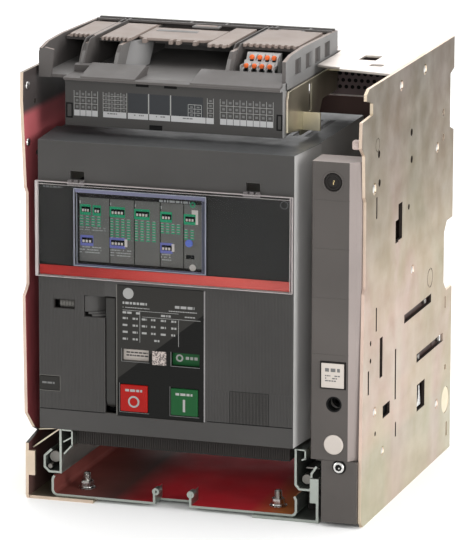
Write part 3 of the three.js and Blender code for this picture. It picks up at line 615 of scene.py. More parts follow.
def add_studio():
    world = bpy.data.worlds.new("studio")
    world.use_nodes = True
    background = world.node_tree.nodes["Background"]
    background.inputs["Color"].default_value = (1, 1, 1, 1)
    background.inputs["Strength"].default_value = 0.60
    bpy.context.scene.world = world
    middle = (0, 0, 0.18)
    add_light("overhead", (0.1, 0.2, 2.6), middle, (2.4, 2.4), 26)
    add_light("right", (2.3, -0.9, 0.9), middle, (1.3, 1.3), 42)
    add_light("front", (1.0, -3.0, 1.1), middle, (1.0, 1.0), 26)
    add_light("left", (-2.4, -0.6, 1.2), middle, (1.4, 1.4), 22)
    add_light("ground", (-1.2, 4.6, 2.8), (-1.2, 3.4, 0), (4.5, 4.5), 150)
    mesh = bpy.data.meshes.new("floor")
    reach = 14
    corners = [(-reach, -reach, 0), (reach, -reach, 0), (reach, reach, 0), (-reach, reach, 0)]
    mesh.from_pydata(corners, [], [(0, 1, 2, 3)])
    floor = linked("floor", mesh)
    m = Nodes("floor")
    m.colour(m.ramp(m.noise(3, 2), [(0.3, (0.96, 0.96, 0.955)), (0.7, (0.98, 0.98, 0.975))]))
    m.put(Roughness=0.9)
    mesh.materials.append(m.material)
    view = bpy.context.scene.view_settings
    view.view_transform = "Standard"
    view.look = "None"


add_camera()
add_studio()

# ---------------------------------------------------------------- cradle: side plates

L_X0 = extent("left_side_plate")[0]
R_X0, R_X1 = extent("right_side_plate")[:2]
PLATE_OUT = R_X1


def side_plates():
    plate_in = L_X0 + (R_X1 - R_X0)

    # Faces inside the plates' slots, which get painted shade.
    def in_shaded_slot(middle, normal):
        return abs(normal.x) < 0.5 and -117 < middle.y < 104 and 22 < middle.z < 325

    def left_tint(middle, normal):
        if in_shaded_slot(middle, normal):
            return 3
        if normal.y < -0.6:
            return 2
        return 1 if normal.x > 0.8 and abs(middle.x - plate_in) < 0.6 else 0

    def right_tint(middle, normal):
        if in_shaded_slot(middle, normal):
            return 2
        return 1 if normal.y < -0.6 or normal.z > 0.6 else 0

    refine("left_side_plate", ["zinc_plate", "plate_inside", "edge_zinc", "slot_wall_painted_shade"], 0.35, tint=left_tint)
    # Half-pierced marks: a round dish with a bright dome left in it.
    marks = [
        (-23, 332, 4.6), (46, 333, 4.6), (86, 262, 4.6), (-97, 264, 5), (15, 176, 4.6),
        (92, 47, 4.6), (-68, 48, 4.2), (-91, 85, 4.6),
    ]
    dishes = Shape()
    domes = Shape()
    for y, z, radius in marks:
        dishes.turned("x", (y, z), [(radius - 1, PLATE_OUT - 1.3), (radius, PLATE_OUT + 0.2)], 28)
        profile = [
            (radius - 1.2, PLATE_OUT - 1.5),
            (radius - 1.4, PLATE_OUT - 0.9),
            (radius - 2.2, PLATE_OUT - 0.35),
            (0.3, PLATE_OUT - 0.12),
        ]
        domes.turned("x", (y, z), profile, 28)
    arcs = [(68, 158, 8, 7.2), (-89, 297, 5.5, 5)]
    for y, z, outer, inner in arcs:
        dishes.ring("x", outer, inner, (PLATE_OUT - 0.5, PLATE_OUT + 0.5), (y, z))
    disc_place = (119, 44)
    dishes.rod("x", 11.2, (PLATE_OUT - 0.9, PLATE_OUT + 0.5), disc_place, 48)
    dishes.box((R_X0 - 1, PLATE_OUT + 1), (-36, -27.5), (208, 226))
    refine("right_side_plate", ["zinc_plate", "edge_zinc", "slot_wall_painted_shade"], 0.3, cutters=dishes, tint=right_tint)
    domes.piece("plate_domes", "bright")
    profile = [(11, PLATE_OUT - 1), (11, PLATE_OUT - 0.5), (10.6, PLATE_OUT - 0.2)]
    disc = Shape().turned("x", disc_place, profile)
    disc.piece("plate_disc", "zinc")
    rivets = Shape()
    for y, z in ((-121.3, 333.1), (-120.6, 288)):
        profile = [(2.1, plate_in - 2), (3.2, plate_in + 0.1), (2.9, plate_in + 0.9), (1.2, plate_in + 1.4)]
        rivets.turned("x", (y, z), profile, 24)
    rivets.piece("left_plate_rivets", "bright")


def side_plate_fittings():
    inside = R_X0
    link = Shape()
    link.box((inside - 3, inside - 0.4), (-33, -29), (208, 227))
    link.box((inside - 3, inside - 0.4), (-29, -21), (203, 208))
    link.rod("x", 3.4, (inside - 3.2, inside - 0.2), (-31, 209), 28)
    link.piece("slot_link", "white_steel", 0.4)
    boxes("slot_shade", "dark", [((inside - 8, inside - 5), (-40, -14), (200, 244))], 0.4)
    boxes("shutter_lever_slides", "brown", [
        ((inside - 5, inside - 1), (-12, 76), (133, 148)),
        ((inside - 5, inside - 1), (26, 112), (92, 107)),
    ], 0.6)
    pins = Shape()
    for y, z in ((58, 141), (101, 100), (40, 99)):
        pins.turned("x", (y, z), [(2.6, inside - 4), (2.6, inside + 1), (2.1, inside + 1.5)], 24)
    pins.piece("shutter_lever_pins", "dull_steel")
    boxes("plate_clip", "pink_white", [
        ((129.6, inside - 0.4), (-128, -121), (300, 307)),
        ((131, inside - 0.4), (-130, -126), (301.5, 305.5)),
    ], 1.4, 3)
    boxes("plate_latch_back", "seam", [((inside - 6, inside - 1), (34, 53), (50, 82))], 0.4)
    hook = Shape()
    outline = [(38, 57), (50, 57), (48, 66), (46, 74), (44, 74), (43, 65)]
    hook.prism("x", outline, (inside - 0.9, inside + 0.6))
    hook.piece("plate_latch_hook", "bright", 0.3)
    boxes("plate_window_backs", "seam", [
        ((inside - 5, inside - 1), (-72, -44), (70, 88)),
        ((inside - 5, inside - 1), (-82, -66), (105, 145)),
    ], 0.4)


side_plates()
side_plate_fittings()

# ---------------------------------------------------------------- cradle: bottom


def base():
    x0, x1, y0, _, z0, _ = extent("base_tray")

    def tray_tint(middle, normal):
        inner = middle.z > z0 + 1.5 and (normal.z > 0.6 or abs(normal.x) > 0.6)
        faces_in = normal.z > 0.6 or (normal.x > 0.6) == (middle.x < (x0 + x1) / 2)
        tab = abs(normal.x) > 0.6 and -42 < middle.x < 6
        return 1 if inner and faces_in and middle.y > y0 + 0.6 and not tab else 0

    refine("base_tray", ["green_steel", "tray_inside"], 0.3, tint=tray_tint)
    refine("right_inner_bracket", ["green_steel"], 0.5)
    for side in ("left", "right"):
        refine(side + "_guide_rail", ["green_steel"], 0.35)
        stud(side)
    lips = Shape()
    for a, b in ((-34.8, -29), (-5.5, -0.4)):
        lips.turned("y", ((a + b) / 2, 13.2), [(2.9, y0 + 0.3), (2.9, y0 + 8)], 28)
        lips.turned("y", ((a + b) / 2, 13.2), [(1.1, y0 + 0.2), (1.1, y0 + 0.5)], 20, 1)
    lips.piece("tray_lips", ["green_steel", "seam"])


def stud(side):
    node = side + "_base_stud"
    x0, x1, y0, y1, z0, z1 = extent(node)
    x, y = (x0 + x1) / 2, (y0 + y1) / 2
    shape = Shape()
    washer = z0 + 2.3
    shape.turned("z", (x, y), [(6.6, washer), (7, washer + 0.2), (7, washer + 0.8), (6.6, washer + 1.1)], 48)
    shape.turned("z", (x, y), [(5.6, washer + 1.2), (5.9, washer + 1.4), (5.6, washer + 2.0)], 40)
    nut = [(5.1, washer + 2.1), (5.5, washer + 2.6), (5.5, washer + 6), (4.9, washer + 6.6)]
    shape.turned("z", (x, y), nut, 6)
    thread = []
    turns = 12
    for i in range(turns):
        height = washer + 6.6 + i * (z1 - washer - 7) / turns
        thread += [(2.95, height), (2.55, height + 0.25)]
    thread.append((2.2, z1))
    shape.turned("z", (x, y), [(2.95, z0)] + thread, 24)
    shape.piece(node + "_fine", "bright", node=node)


def rail_fittings():
    x0, x1, y0, y1, z0, z1 = extent("left_guide_rail")
    rollers = Shape()
    for y in (y0 + 14, y0 + 60, y0 + 120):
        rollers.turned("y", (x0 + 8, z0 + 12), [(4.4, y - 8), (5, y - 7.4), (5, y + 7.4), (4.4, y + 8)], 32)
    rollers.turned("y", (x0 + 5.5, z0 + 5.2), [(1.8, y0 + 1), (2.2, y0 + 2), (2.2, y1 - 4)], 24)
    rollers.piece("left_rail_rollers", "dull_steel")
    loop = Shape()
    outer = [(x1 + 0.6, 56.5), (x1 + 8.4, 56.5), (x1 + 8.4, 44.5), (x1 + 2, 37.5)]
    for a, b in zip(outer, outer[1:]):
        strip(loop, a, b, 1.4, (y0 + 1, y0 + 60))
    strip(loop, (x1 + 1.5, 47), (x1 + 7.5, 50.5), 1.2, (y0 + 1, y0 + 60))
    loop.piece("left_rail_lock", "green_steel", 0.2)
    guide = Shape()
    strip(guide, (-134.6, 41), (-113, 57.2), 1.2, (-118, -30))
    strip(guide, (-129.6, 56), (-113, 57.8), 0.8, (-118, -30))
    guide.piece("left_plate_guide", "zinc_dark", 0.2)
    x0, x1, y0, y1, z0, z1 = extent("right_guide_rail")
    right = Shape()
    right.turned("y", (x0 + 8.5, z0 + 8), [(3.8, y0 + 6), (4.4, y0 + 7), (4.4, y0 + 30), (3.8, y0 + 31)], 32)
    profile = [(3.8, y0 + 60), (4.4, y0 + 61), (4.4, y0 + 90), (3.8, y0 + 91)]
    right.turned("y", (x0 + 8.5, z0 + 8), profile, 32)
    right.piece("right_rail_rollers", "dull_steel")
    hook = Shape()
    outer = [(x0 + 2.4, z1 - 1), (x0 + 8.5, z1 - 1.2), (x0 + 8.5, z1 - 8), (x0 + 6, z1 - 9)]
    for a, b in zip(outer, outer[1:]):
        strip(hook, a, b, 1.3, (y0 + 1, y0 + 50))
    hook.piece("right_rail_lock", "green_steel", 0.2)
    boxes("right_rail_shelf", "dull_steel", [
        ((x0 + 10, x1 + 6), (y0 + 26, y0 + 120), (42, 44)),
        ((89, 100), (-109, -60), (40, 41.2)),
    ], 0.2, slot="pale_steel")
    boxes("right_rail_block", "dark", [((86.5, 99), (-96, -40), (3, 20))], 0.4)


def strip(shape, start, end, thickness, span):
    """A flat strip from one (x, z) point to another, swept along Y."""
    a, b = Vector(start), Vector(end)
    ahead = (b - a).normalized()
    side = Vector((-ahead.y, ahead.x)) * thickness / 2
    a = a - ahead * thickness / 2
    b = b + ahead * thickness / 2
    shape.prism("y", [a - side, b - side, b + side, a + side], span)


base()
rail_fittings()

# ---------------------------------------------------------------- cradle: racking column

C_X0, C_X1, C_Y0, _, C_Z0, C_Z1 = extent("racking_column")


def column():
    grooves = Shape()
    for z in (260, 222, 183, 138.5):
        grooves.box((C_X0 - 1, C_X1 + 1), (C_Y0 - 1, C_Y0 + 0.16), (z - 0.3, z + 0.3))

    def column_tint(middle, normal):
        # The right chamfer and the top get the painted-light copies of the column plastic.
        chamfer = middle.x > C_X1 - 8.5 and normal.x > 0.3
        roof = middle.z > C_Z1 - 8.5 and normal.z > 0.3
        return 2 if roof else 1 if chamfer else 0

    tints = ["column", "column_pale", "column_painted_lit_roof"]
    refine("racking_column", tints, 0.7, 3, cutters=grooves, tint=column_tint)
    edge = Shape()
    corner = [(-7.4, 0.17), (-0.17, 7.4), (-2.6, 9.6), (-9.6, 2.6)]
    edge.prism("z", [(C_X1 + a, C_Y0 + b) for a, b in corner], (C_Z0 + 0.3, C_Z1 - 3.4))
    # The corner web takes the painted-light chamfer colour.
    edge.piece("column_corner_web", "column_pale")
    refine("racking_column_foot", ["column"], 0.6)
    y0, y1 = extent("key_lock")[2:4]
    x = 115.4
    z = 274.2
    rim = Shape().ring("y", 8.6, 7.35, (C_Y0 - 0.5, C_Y0 + 1.5), (x, z))
    rim.piece("key_lock_rim", "column", 0.3)
    lock = Shape()
    lock.turned("y", (x, z), [(6.9, y0 + 18), (6.9, y0 + 0.4), (6.4, y0), (5.0, y0), (4.6, y0 + 0.9)])
    lock.box((112.5, 118.3), (y0 + 17.6, y1), (262, 277))
    lock.piece("key_lock_fine", "dark", node="key_lock")
    plug = Shape("key_lock")
    plug.turned("y", (x, z), [(4.4, y0 + 3), (4.4, y0 + 1.1), (4.0, y0 + 0.8)])
    plug.piece("key_lock_plug", "dark", slot="bright_steel")
    keyway = Shape("key_lock")
    keyway.box((x - 0.3, x + 0.4), (y0 + 0.55, y0 + 1.4), (z - 2.2, z + 1.0))
    keyway.turned("y", (x + 0.4, z + 0.6), [(0.7, y0 + 1.4), (0.7, y0 + 0.55)], 20)
    keyway.piece("key_lock_way", "brass")
    column_controls()


def column_controls():
    x0, x1, y0, y1, z0, z1 = extent("racking_release_button")
    boxes("release_face", "white", [
        ((x0 + 0.9, x1 - 0.9), (y0, y0 + 3), (z0 + 0.9, z1 - 0.9)),
    ], 0.35, body="release_button")
    boxes("release_body", "dark", [
        ((x0, x1), (y0 + 0.5, y0 + 7.5), (z0, z1)),
        ((x0 + 6, x1 - 6), (y0 + 6.5, y1), (118, 126)),
    ], 0.3, node="racking_release_button")
    marks = Shape("release_button")
    dashes(marks, (x0 + 4, x1 - 4), (z0 + 12.5, z0 + 16.5), y0 - 0.06, 1, 2.8, seed=3)
    dashes(marks, (x0 + 4, x1 - 4), (z0 + 5, z0 + 11), y0 - 0.06, 3, 1.0, seed=4)
    marks.piece("release_marks", "faint_print")
    x, z = 117.3, 98.9
    sleeve = Shape().ring("y", 6.25, 5.0, (C_Y0 + 0.1, C_Y0 + 9), (x, z))
    sleeve.piece("crank_hole_sleeve", "seam", slot="warm_grey_plastic")
    refine("racking_screw", ["seam"], 0.3)
    x0, x1, y0, y1, z0, z1 = extent("position_indicator")
    x, z = (x0 + x1) / 2, (z0 + z1) / 2
    disc = Shape()
    profile = [(2.5, y1), (2.5, y0 + 4), (7.8, y0 + 4), (7.8, y0 + 0.5), (7.3, y0 + 0.1), (6.6, y0)]
    disc.turned("y", (x, z), profile)
    disc.piece("indicator_disc", "white", node="position_indicator")
    x0, x1, y0, y1, z0, z1 = extent("column_screw")
    x, z = (x0 + x1) / 2, (z0 + z1) / 2
    screw = Shape()
    profile = [(2.3, y1), (2.3, y0 + 2.2), (4.3, y0 + 2.2), (4.3, y0 + 0.4), (3.8, y0), (2.7, y0 + 0.1)]
    screw.turned("y", (x, z), profile)
    screw.turned("y", (x, z), [(2.9, y0 + 0.5), (2.8, y0 + 0.02)], 8, 1)
    screw.turned("y", (x + 0.5, z - 0.4), [(0.8, y0 + 0.5), (0.6, y0 + 0.01)], 20)
    screw.piece("column_screw_fine", ["bright", "seam"], node="column_screw")
    well = Shape().ring("y", 5.6, 4.5, (C_Y0 + 0.2, C_Y0 + 1.2), (x, z))
    well.piece("column_screw_well", "seam", slot="warm_grey_plastic")


def dashes(shape, x, z, y, rows, height, fill=0.8, seed=1, depth=0.3):
    """Rows of short printed strokes that stand for unreadable small print."""
    draw = random.Random(seed)
    step = (z[1] - z[0]) / rows
    for row in range(rows):
        top = z[1] - row * step
        place = x[0]
        while place < x[1] - 0.4:
            length = min(draw.uniform(0.7, 2.6) * max(height, 0.7), x[1] - place)
            if draw.random() < fill:
                shape.box((place, place + length), (y, y + depth), (top - height, top))
            place += length + 0.45 * max(height, 0.7)


column()

# ---------------------------------------------------------------- cradle: terminal box

T_X0, T_X1, _, T_Y1, T_Z0, T_Z1 = extent("terminal_box")
_, F_X1, F_Y0, _, F_Z0, F_Z1 = extent("terminal_box_front")


def terminal_box():
    def box_tint(middle, normal):
        # The shaded low bay gets a painted-light copy of the box plastic.
        deep = middle.z < T_Z0 + 16 and middle.y > -78 and normal.z > -0.5
        # Top faces and right-hand faces get the painted-light copies of the box plastic.
        roof = normal.z > 0.8 and middle.z > T_Z0 + 16
        flank = normal.x > 0.8 and middle.x > T_X1 - 4
        return 2 if roof else 3 if flank else 1 if deep else 0

    mouth = Shape().box((-121, -97), (-115, -86), (T_Z0 + 3, T_Z0 + 16))
    tints = ["box", "box_deep", "box_top", "box_side"]
    refine("terminal_box", tints, 0.5, cutters=mouth, tint=box_tint)
    refine("terminal_box_front", ["box_front"], 0.5)
    refine("terminal_box_bracket", ["zinc_dark"], 0.25)
    box_roofs()
    box_walls()
    box_labels()
    box_terminals()


def comb(shape, x, y, z, pitch, depth=4.0, tint=0):
    """A roof plate with a toothed front edge."""
    shape.box(x, (y[0] + depth, y[1]), z, tint)
    count = max(int((x[1] - x[0]) / pitch), 1)
    step = (x[1] - x[0]) / count
    for i in range(count):
        left = x[0] + i * step
        shape.box((left + 0.25 * step, left + 0.75 * step), (y[0], y[0] + depth + 0.4), z, tint)


def box_roofs():
    top = T_Z1 - 0.6
    roofs = Shape()
    comb(roofs, (-127.4, -104), (-50, 12), (top - 2.4, top), 3.4)
    comb(roofs, (-98.5, -74), (-57, 12), (top - 2.4, top), 3.4)
    comb(roofs, (-9.4, 8), (-62, 16), (top - 2.4, top), 4.4)
    comb(roofs, (16, 62), (-50, 18), (top - 2.4, top), 5)
    roofs.piece("box_roofs", "box_top", 0.25)
    bay = Shape()
    outline = [(-73.4, -36), (-66, -42), (-18, -40), (-12, -34), (-12, 6), (-73.4, 6)]
    bay.prism("z", outline, (top - 3.4, top - 1.2))
    for x in (-66, -44, -38, -24):
        bay.box((x - 1.6, x + 1.6), (-46, -38), (top - 5, top - 1.4))
    bay.piece("bay_roof", "box_top", 0.35)
    slots = Shape()
    for x in (-46, 24):
        slots.box((x, x + 22), (15, 24), (top - 1.8, top - 0.4))
    slots.box((-68, -34), (-10, -3), (top - 1.6, top - 0.9))
    slots.piece("roof_slots", "box_deep", 0.2)
    lids = [((x, x + 17), (17.5, 22), (top - 1.4, top)) for x in (-43.5, 26.5)]
    boxes("roof_lids", "box_top", lids, 0.25)
    back = Shape()
    back.box((T_X0 + 3, T_X1 - 1), (T_Y1 - 6, T_Y1 - 3), (top - 1.5, T_Z1 - 0.1))
    back.box((T_X0 + 3, T_X1 - 1), (26, 28), (top - 1.5, top + 0.2))
    for x in (-104, -52, -22, 20, 48):
        back.box((x - 1, x + 1), (27, T_Y1 - 4), (top - 1.5, top + 0.2))
    back.piece("box_back_rails", "box", 0.3)
    boxes("box_back_pits", "box_deep", [
        ((T_X0 + 3.5, T_X1 - 4), (28.2, T_Y1 - 6.2), (top - 1.6, top - 0.9)),
    ])


def partition(shape, x, front):
    """A double wall with open cells between its skins and a raked front edge."""
    top = T_Z1 - 0.5
    low = T_Z0 + 2
    profile = [(front, low), (34, low), (34, top), (front + 22, top), (front + 14, top - 5)]
    for side in (-1, 1):
        middle = x + side * 1.9
        shape.prism("x", profile, (middle - 0.5, middle + 0.5))
    for i in range(3):
        t0 = front + 1.5 + i * 6.5
        z0 = low + 0.6 + i * 6.2
        outline = [(t0, z0), (t0 + 3, z0), (t0 + 6, z0 + 4.4), (t0 + 3.4, z0 + 4.4)]
        shape.prism("x", outline, (x - 1.8, x + 1.8))


def box_walls():
    walls = Shape()
    partition(walls, -106, -86)
    partition(walls, 14, -74)
    walls.piece("box_partitions", "box", 0.15)
    curved = Shape()
    steps = 10
    rings = []
    for z, shift in ((T_Z0 + 3, 0), (T_Z1 - 4, 15)):
        outer = []
        for i in range(steps + 1):
            angle = math.pi / 2 * i / steps
            outer.append((-84 + 20 * math.sin(angle), -64 + 26 * (1 - math.cos(angle)) + shift, z))
        inner = [(x - 1.2, y + 1.6, z) for x, y, z in reversed(outer)]
        rings.append(outer + inner)
    curved._loft(rings, 0)
    curved.piece("bay_curved_wall", "box_side")
    ledge = Shape()
    slope = [(-111.6, T_Z0 + 1.2), (-110.6, T_Z0 + 3.8), (-82, T_Z0 + 10.2), (-80, T_Z0 + 8)]
    ledge.prism("x", slope, (-96.6, -51.4))
    ledge.prism("x", slope, (-6.6, T_X1 - 1.4))
    ledge.piece("box_ledges", "box", 0.5)
    side = Shape()
    right = T_X1
    side.box((right - 2.8, right - 0.3), (-99.5, -96), (T_Z0, T_Z1 - 5))
    for y in (-90, -56, -26, -1, 22):
        side.box((right - 1.2, right - 0.05), (y - 1, y + 1), (T_Z0 + 6, T_Z1 - 3))
    for y0, y1 in ((-82, -74), (-53, -46), (-31, -23)):
        side.box((right - 3, right - 0.3), (y0, y1), (T_Z0 + 5, T_Z1 - 4))
    side.piece("box_side_ribs", "box_side", 0.3)
    gaps = ((-82, -59), (-53, -29), (-23, -7), (3, 19))
    blanks = [((right - 3.4, right - 2.2), y, (T_Z0 + 6, T_Z1 - 5)) for y in gaps]
    boxes("box_side_blanks", "box", blanks, 0.2)
    boxes("box_under_edge", "box_deep", [((T_X1 - 6, T_X1 - 0.8), (-84, 30), (T_Z0 - 5, T_Z0 + 0.6))], 0.3)
    boxes("box_corner_post", "box_side", [
        ((F_X1 - 0.4, F_X1 + 1), (F_Y0 + 0.2, F_Y0 + 8), (F_Z0, T_Z0 + 6)),
    ], 0.3)


def label_table(shape, x, z, columns, rows, y, line=0.35):
    """A printed grid of lines."""
    for i in range(columns + 1):
        place = x[0] + (x[1] - x[0]) * i / columns
        shape.box((place - line / 2, place + line / 2), (y, y + 0.3), z)
    for i in range(1, rows):
        place = z[0] + (z[1] - z[0]) * i / rows
        shape.box(x, (y, y + 0.3), (place - line / 2, place + line / 2))


def box_labels():
    y = F_Y0 - 0.06
    low = F_Z0 + 8
    strip_top = low + 4.6
    top = strip_top + 15.4
    grounds = ((-58.8, -42.6), (-41.4, -24.6), (-23.4, 2.6))
    spans = [(x, (y + 0.02, y + 0.3), (strip_top, top + 0.4)) for x in grounds]
    boxes("label_grounds", "label_ground", spans)
    grid = Shape()
    tables = (
        ((-103.5, -84), top, 4, 3), ((-79.5, -60), top, 4, 5), ((16.5, 59.5), top, 8, 3),
        ((-9.6, 1.2), top - 6, 2, 3), ((6, 11), top, 1, 4),
    )
    for x, height, columns, rows in tables:
        label_table(grid, x, (strip_top, height), columns, rows, y)
    grid.box((-9.6, 1.2), (y, y + 0.3), (top - 6, top - 5.6))
    for x in (-42, -24):
        grid.box((x - 0.45, x + 0.45), (y, y + 0.3), (strip_top, top + 0.5))
    grid.piece("label_lines", "print", slot="box_plastic")
    ends = (-103.5, -84, -79.5, -60.4, -59.1, -42.4, -41.6, -24.4, -23.6, 4.6, 5.2, 11.3, 16.5, 59.5)
    spans = [(x, (y, y + 0.3), (low, strip_top)) for x in zip(ends[::2], ends[1::2])]
    boxes("label_strips", "label_white", spans)
    ticks = Shape()
    for x0, x1, count in ((-103.5, -84, 4), (16.5, 59.5, 8)):
        for i in range(1, count):
            x = x0 + (x1 - x0) * i / count
            ticks.box((x - 0.2, x + 0.2), (y - 0.05, y + 0.2), (low, strip_top))
    ticks.piece("label_ticks", "label_ground")
    cells = Shape()
    for (x0, x1), height, columns, rows in tables:
        wide = (x1 - x0) / columns
        tall = (height - strip_top) / rows
        for i in range(columns):
            for j in range(rows):
                x = x0 + (i + 0.3) * wide
                z = strip_top + (j + 0.3) * tall
                cells.box((x, x + 0.42 * wide), (y, y + 0.3), (z, z + 0.36 * tall))
    for x, seed in ((-76, 11), (-54, 13), (-36, 14), (-14, 15)):
        dashes(cells, (x, x + 8), (low + 1.3, strip_top - 1), y - 0.08, 1, 1.0, seed=seed, depth=0.2)
    cells.piece("label_cells", "faint_print", slot="box_plastic")
    dark = Shape()
    for x in (-52.4, -29.2):
        dark.box((x, x + 10.4), (F_Y0 - 0.5, F_Y0 + 2), (F_Z1 - 2.4, F_Z1 + 0.1))
    dark.frame_xz((-110.2, -104.6), (F_Z0 + 6, F_Z0 + 18), (F_Y0 - 0.3, F_Y0 + 1), 1.1)
    dark.frame_xz((62.2, 67), (F_Z0 + 6, F_Z0 + 18.6), (F_Y0 - 0.3, F_Y0 + 1), 1.1)
    dark.box((-41.5, -30.8), (F_Y0 - 0.1, F_Y0 + 2.5), (F_Z0, F_Z0 + 4))
    dark.piece("front_slots", "seam", 0.15)


def box_terminals():
    """Two rows of clamps: a slanted block, its wire hole and its lever."""
    z0 = extent("terminal_block")[4]
    trim = Shape().box((48.4, 90), (-90, -20), (z0 - 2, z0 + 40))
    refine("terminal_block", ["pale_grey"], 0.3, cutters=trim)
    levers = Shape()
    wells = Shape()
    blocks = Shape()
    rows = ((-53, 355.2, (27.2, 33.6, 39.7, 45.4)), (-61, 349.6, (25.0, 31.6, 37.8, 44.2)))
    for y, z, places in rows:
        for x in places:
            outline = [(y - 5, z - 6), (y + 3, z - 6), (y + 3, z + 0.4), (y + 1, z + 0.8), (y - 5, z - 3.4)]
            blocks.prism("x", outline, (x - 2.6, x + 2.6))
            wells.rod("y", 1.5, (y - 5.3, y - 3), (x, z - 3.6), 20)
            face = [(1.7, y - 3), (2.0, y - 4.6), (1.8, y - 5.8), (1.2, y - 6.3)]
            levers.turned("y", (x, z - 1.0), face, 20)
    blocks.piece("terminal_clamps", "pale_grey", 0.3)
    wells.piece("terminal_wells", "seam", slot="pale_grey_plastic")
    levers.piece("terminal_levers", "orange", 0.2)
    ribs = Shape()
    for i in range(5):
        x = 20.4 + i * 6.9
        ribs.box((x - 0.4, x + 0.4), (-66.3, -57.5), (z0 + 0.5, z0 + 9))
    ribs.piece("terminal_ribs", "pale_grey", 0.1)


terminal_box()

# ---------------------------------------------------------------- cradle: top and rear


def top_and_rear():
    y1, z0, z1 = extent("top_rear_plate")[3:]
    refine("top_rear_plate", ["white_steel"], 0.4)
    boxes("vent_panel", "vent", [((49, 135), (y1 - 2.15, y1 - 1.95), (z0 + 1, z1 - 4))])
    holes = Shape()
    for i in range(13):
        for j in range(5):
            holes.rod("y", 1.6, (y1 - 2.25, y1 - 2.0), (54 + i * 5.2 + 2.6 * (j % 2), z1 - 11 - j * 5.4), 12)
    holes.piece("vent_holes", "seam")
    screw = Shape().turned("y", (124.5, z1 - 14), [(3.6, y1 - 2), (3.6, y1 - 3.2), (2.8, y1 - 3.8)], 24)
    screw.piece("vent_screw", "bright")
    refine("rear_insulating_wall", ["brown"], 0.8)
    for row in ("upper", "lower"):
        for number in (1, 2, 3):
            refine(f"{row}_terminal_{number}", ["silver_bar"], 0.5)
    for node in ("upper_shutter", "lower_shutter"):
        refine(node, ["brown"], 0.4)


top_and_rear()

# ---------------------------------------------------------------- breaker: casings

V_X0, V_X1, V_Y0, V_Y1, _, V_Z1 = extent("front_cover")
P_X0, P_X1, P_Y0, P_Y1, P_Z0, P_Z1 = extent("trip_unit_cover")
G_X0, G_X1, G_Y0, _, G_Z0, G_Z1 = extent("rating_panel")
CENTRE = (V_X0 + V_X1) / 2
FACE = V_Y0


def casings():
    def cover_tint(middle, normal):
        if normal.z > 0.6 and middle.z > V_Z1 - 4:
            return 3
        # Upright side faces get the painted-light copy of the cover plastic.
        if abs(normal.x) > 0.98 and middle.y > FACE + 1 and abs(middle.x - CENTRE) > V_X1 - CENTRE - 2:
            return 2
        if middle.z > P_Z1 - 1:
            return 1
        return 4 if middle.z < 78 else 0

    def housing_tint(middle, normal):
        # The housing's upright side faces get the painted-light copy of the cover plastic.
        return int(abs(normal.x) > 0.9)

    seams = Shape()
    for x in (V_X0, V_X1):
        seams.box((x - 0.5, x + 0.5), (FACE + 2, V_Y1 + 1), (261.4, 262.1))
    tints = ["cover", "cover_top", "cover_side_painted_light", "cover_roof", "cover_band"]
    refine("front_cover", tints, 0.9, 3, cutters=seams, tint=cover_tint)
    refine("pole_housing", ["cover_roof", "cover_side_painted_light"], 0.6, tint=housing_tint)
    x0, x1, y0, y1, z0, z1 = extent("base_grille")
    z = (z0 - 3.2, z1)
    pitch = 1.9
    grille = [((x0, x1), (y0 + 0.9, y1), z)]
    for i in range(int((x1 - x0) / pitch)):
        left = x0 + 0.4 + pitch * i
        grille.append(((left, left + 1.1), (y0, y0 + 0.95), z))
    boxes("base_grille_ribs", "grille", grille, node="base_grille")
    x0, x1, y0, y1, z0, z1 = extent("pole_housing")
    pitch = 3.2
    vents = [-49 + i * pitch for i in range(22)]
    louvres = [((x0 + 8, x1 - 8), (y, y + 2.0), (z1 - 3.4, z1 - 0.5)) for y in vents]
    boxes("arc_vent_louvres", "cover_top", louvres, 0.2, body="breaker")
    holes = Shape("breaker")
    depth = (V_Z1 - 0.5, V_Z1 - 0.02)
    for x in (CENTRE - 82, CENTRE + 78):
        holes.rod("z", 2.0, depth, (x, -118), 20)
    holes.piece("cover_top_holes", "seam")


def ribbed(shape, x, z, front, pitch=1.15, rise=0.28, depth=0.5):
    """A plate with fine upright ribs on its front."""
    count = max(int((x[1] - x[0]) / pitch), 2)
    step = (x[1] - x[0]) / count
    outline = [(x[0], front + depth)]
    for i in range(count):
        left = x[0] + i * step
        outline += [
            (left + 0.05 * step, front),
            (left + 0.22 * step, front - rise),
            (left + 0.62 * step, front - rise),
            (left + 0.8 * step, front),
        ]
    outline.append((x[1], front + depth))
    shape.prism("z", outline, z)


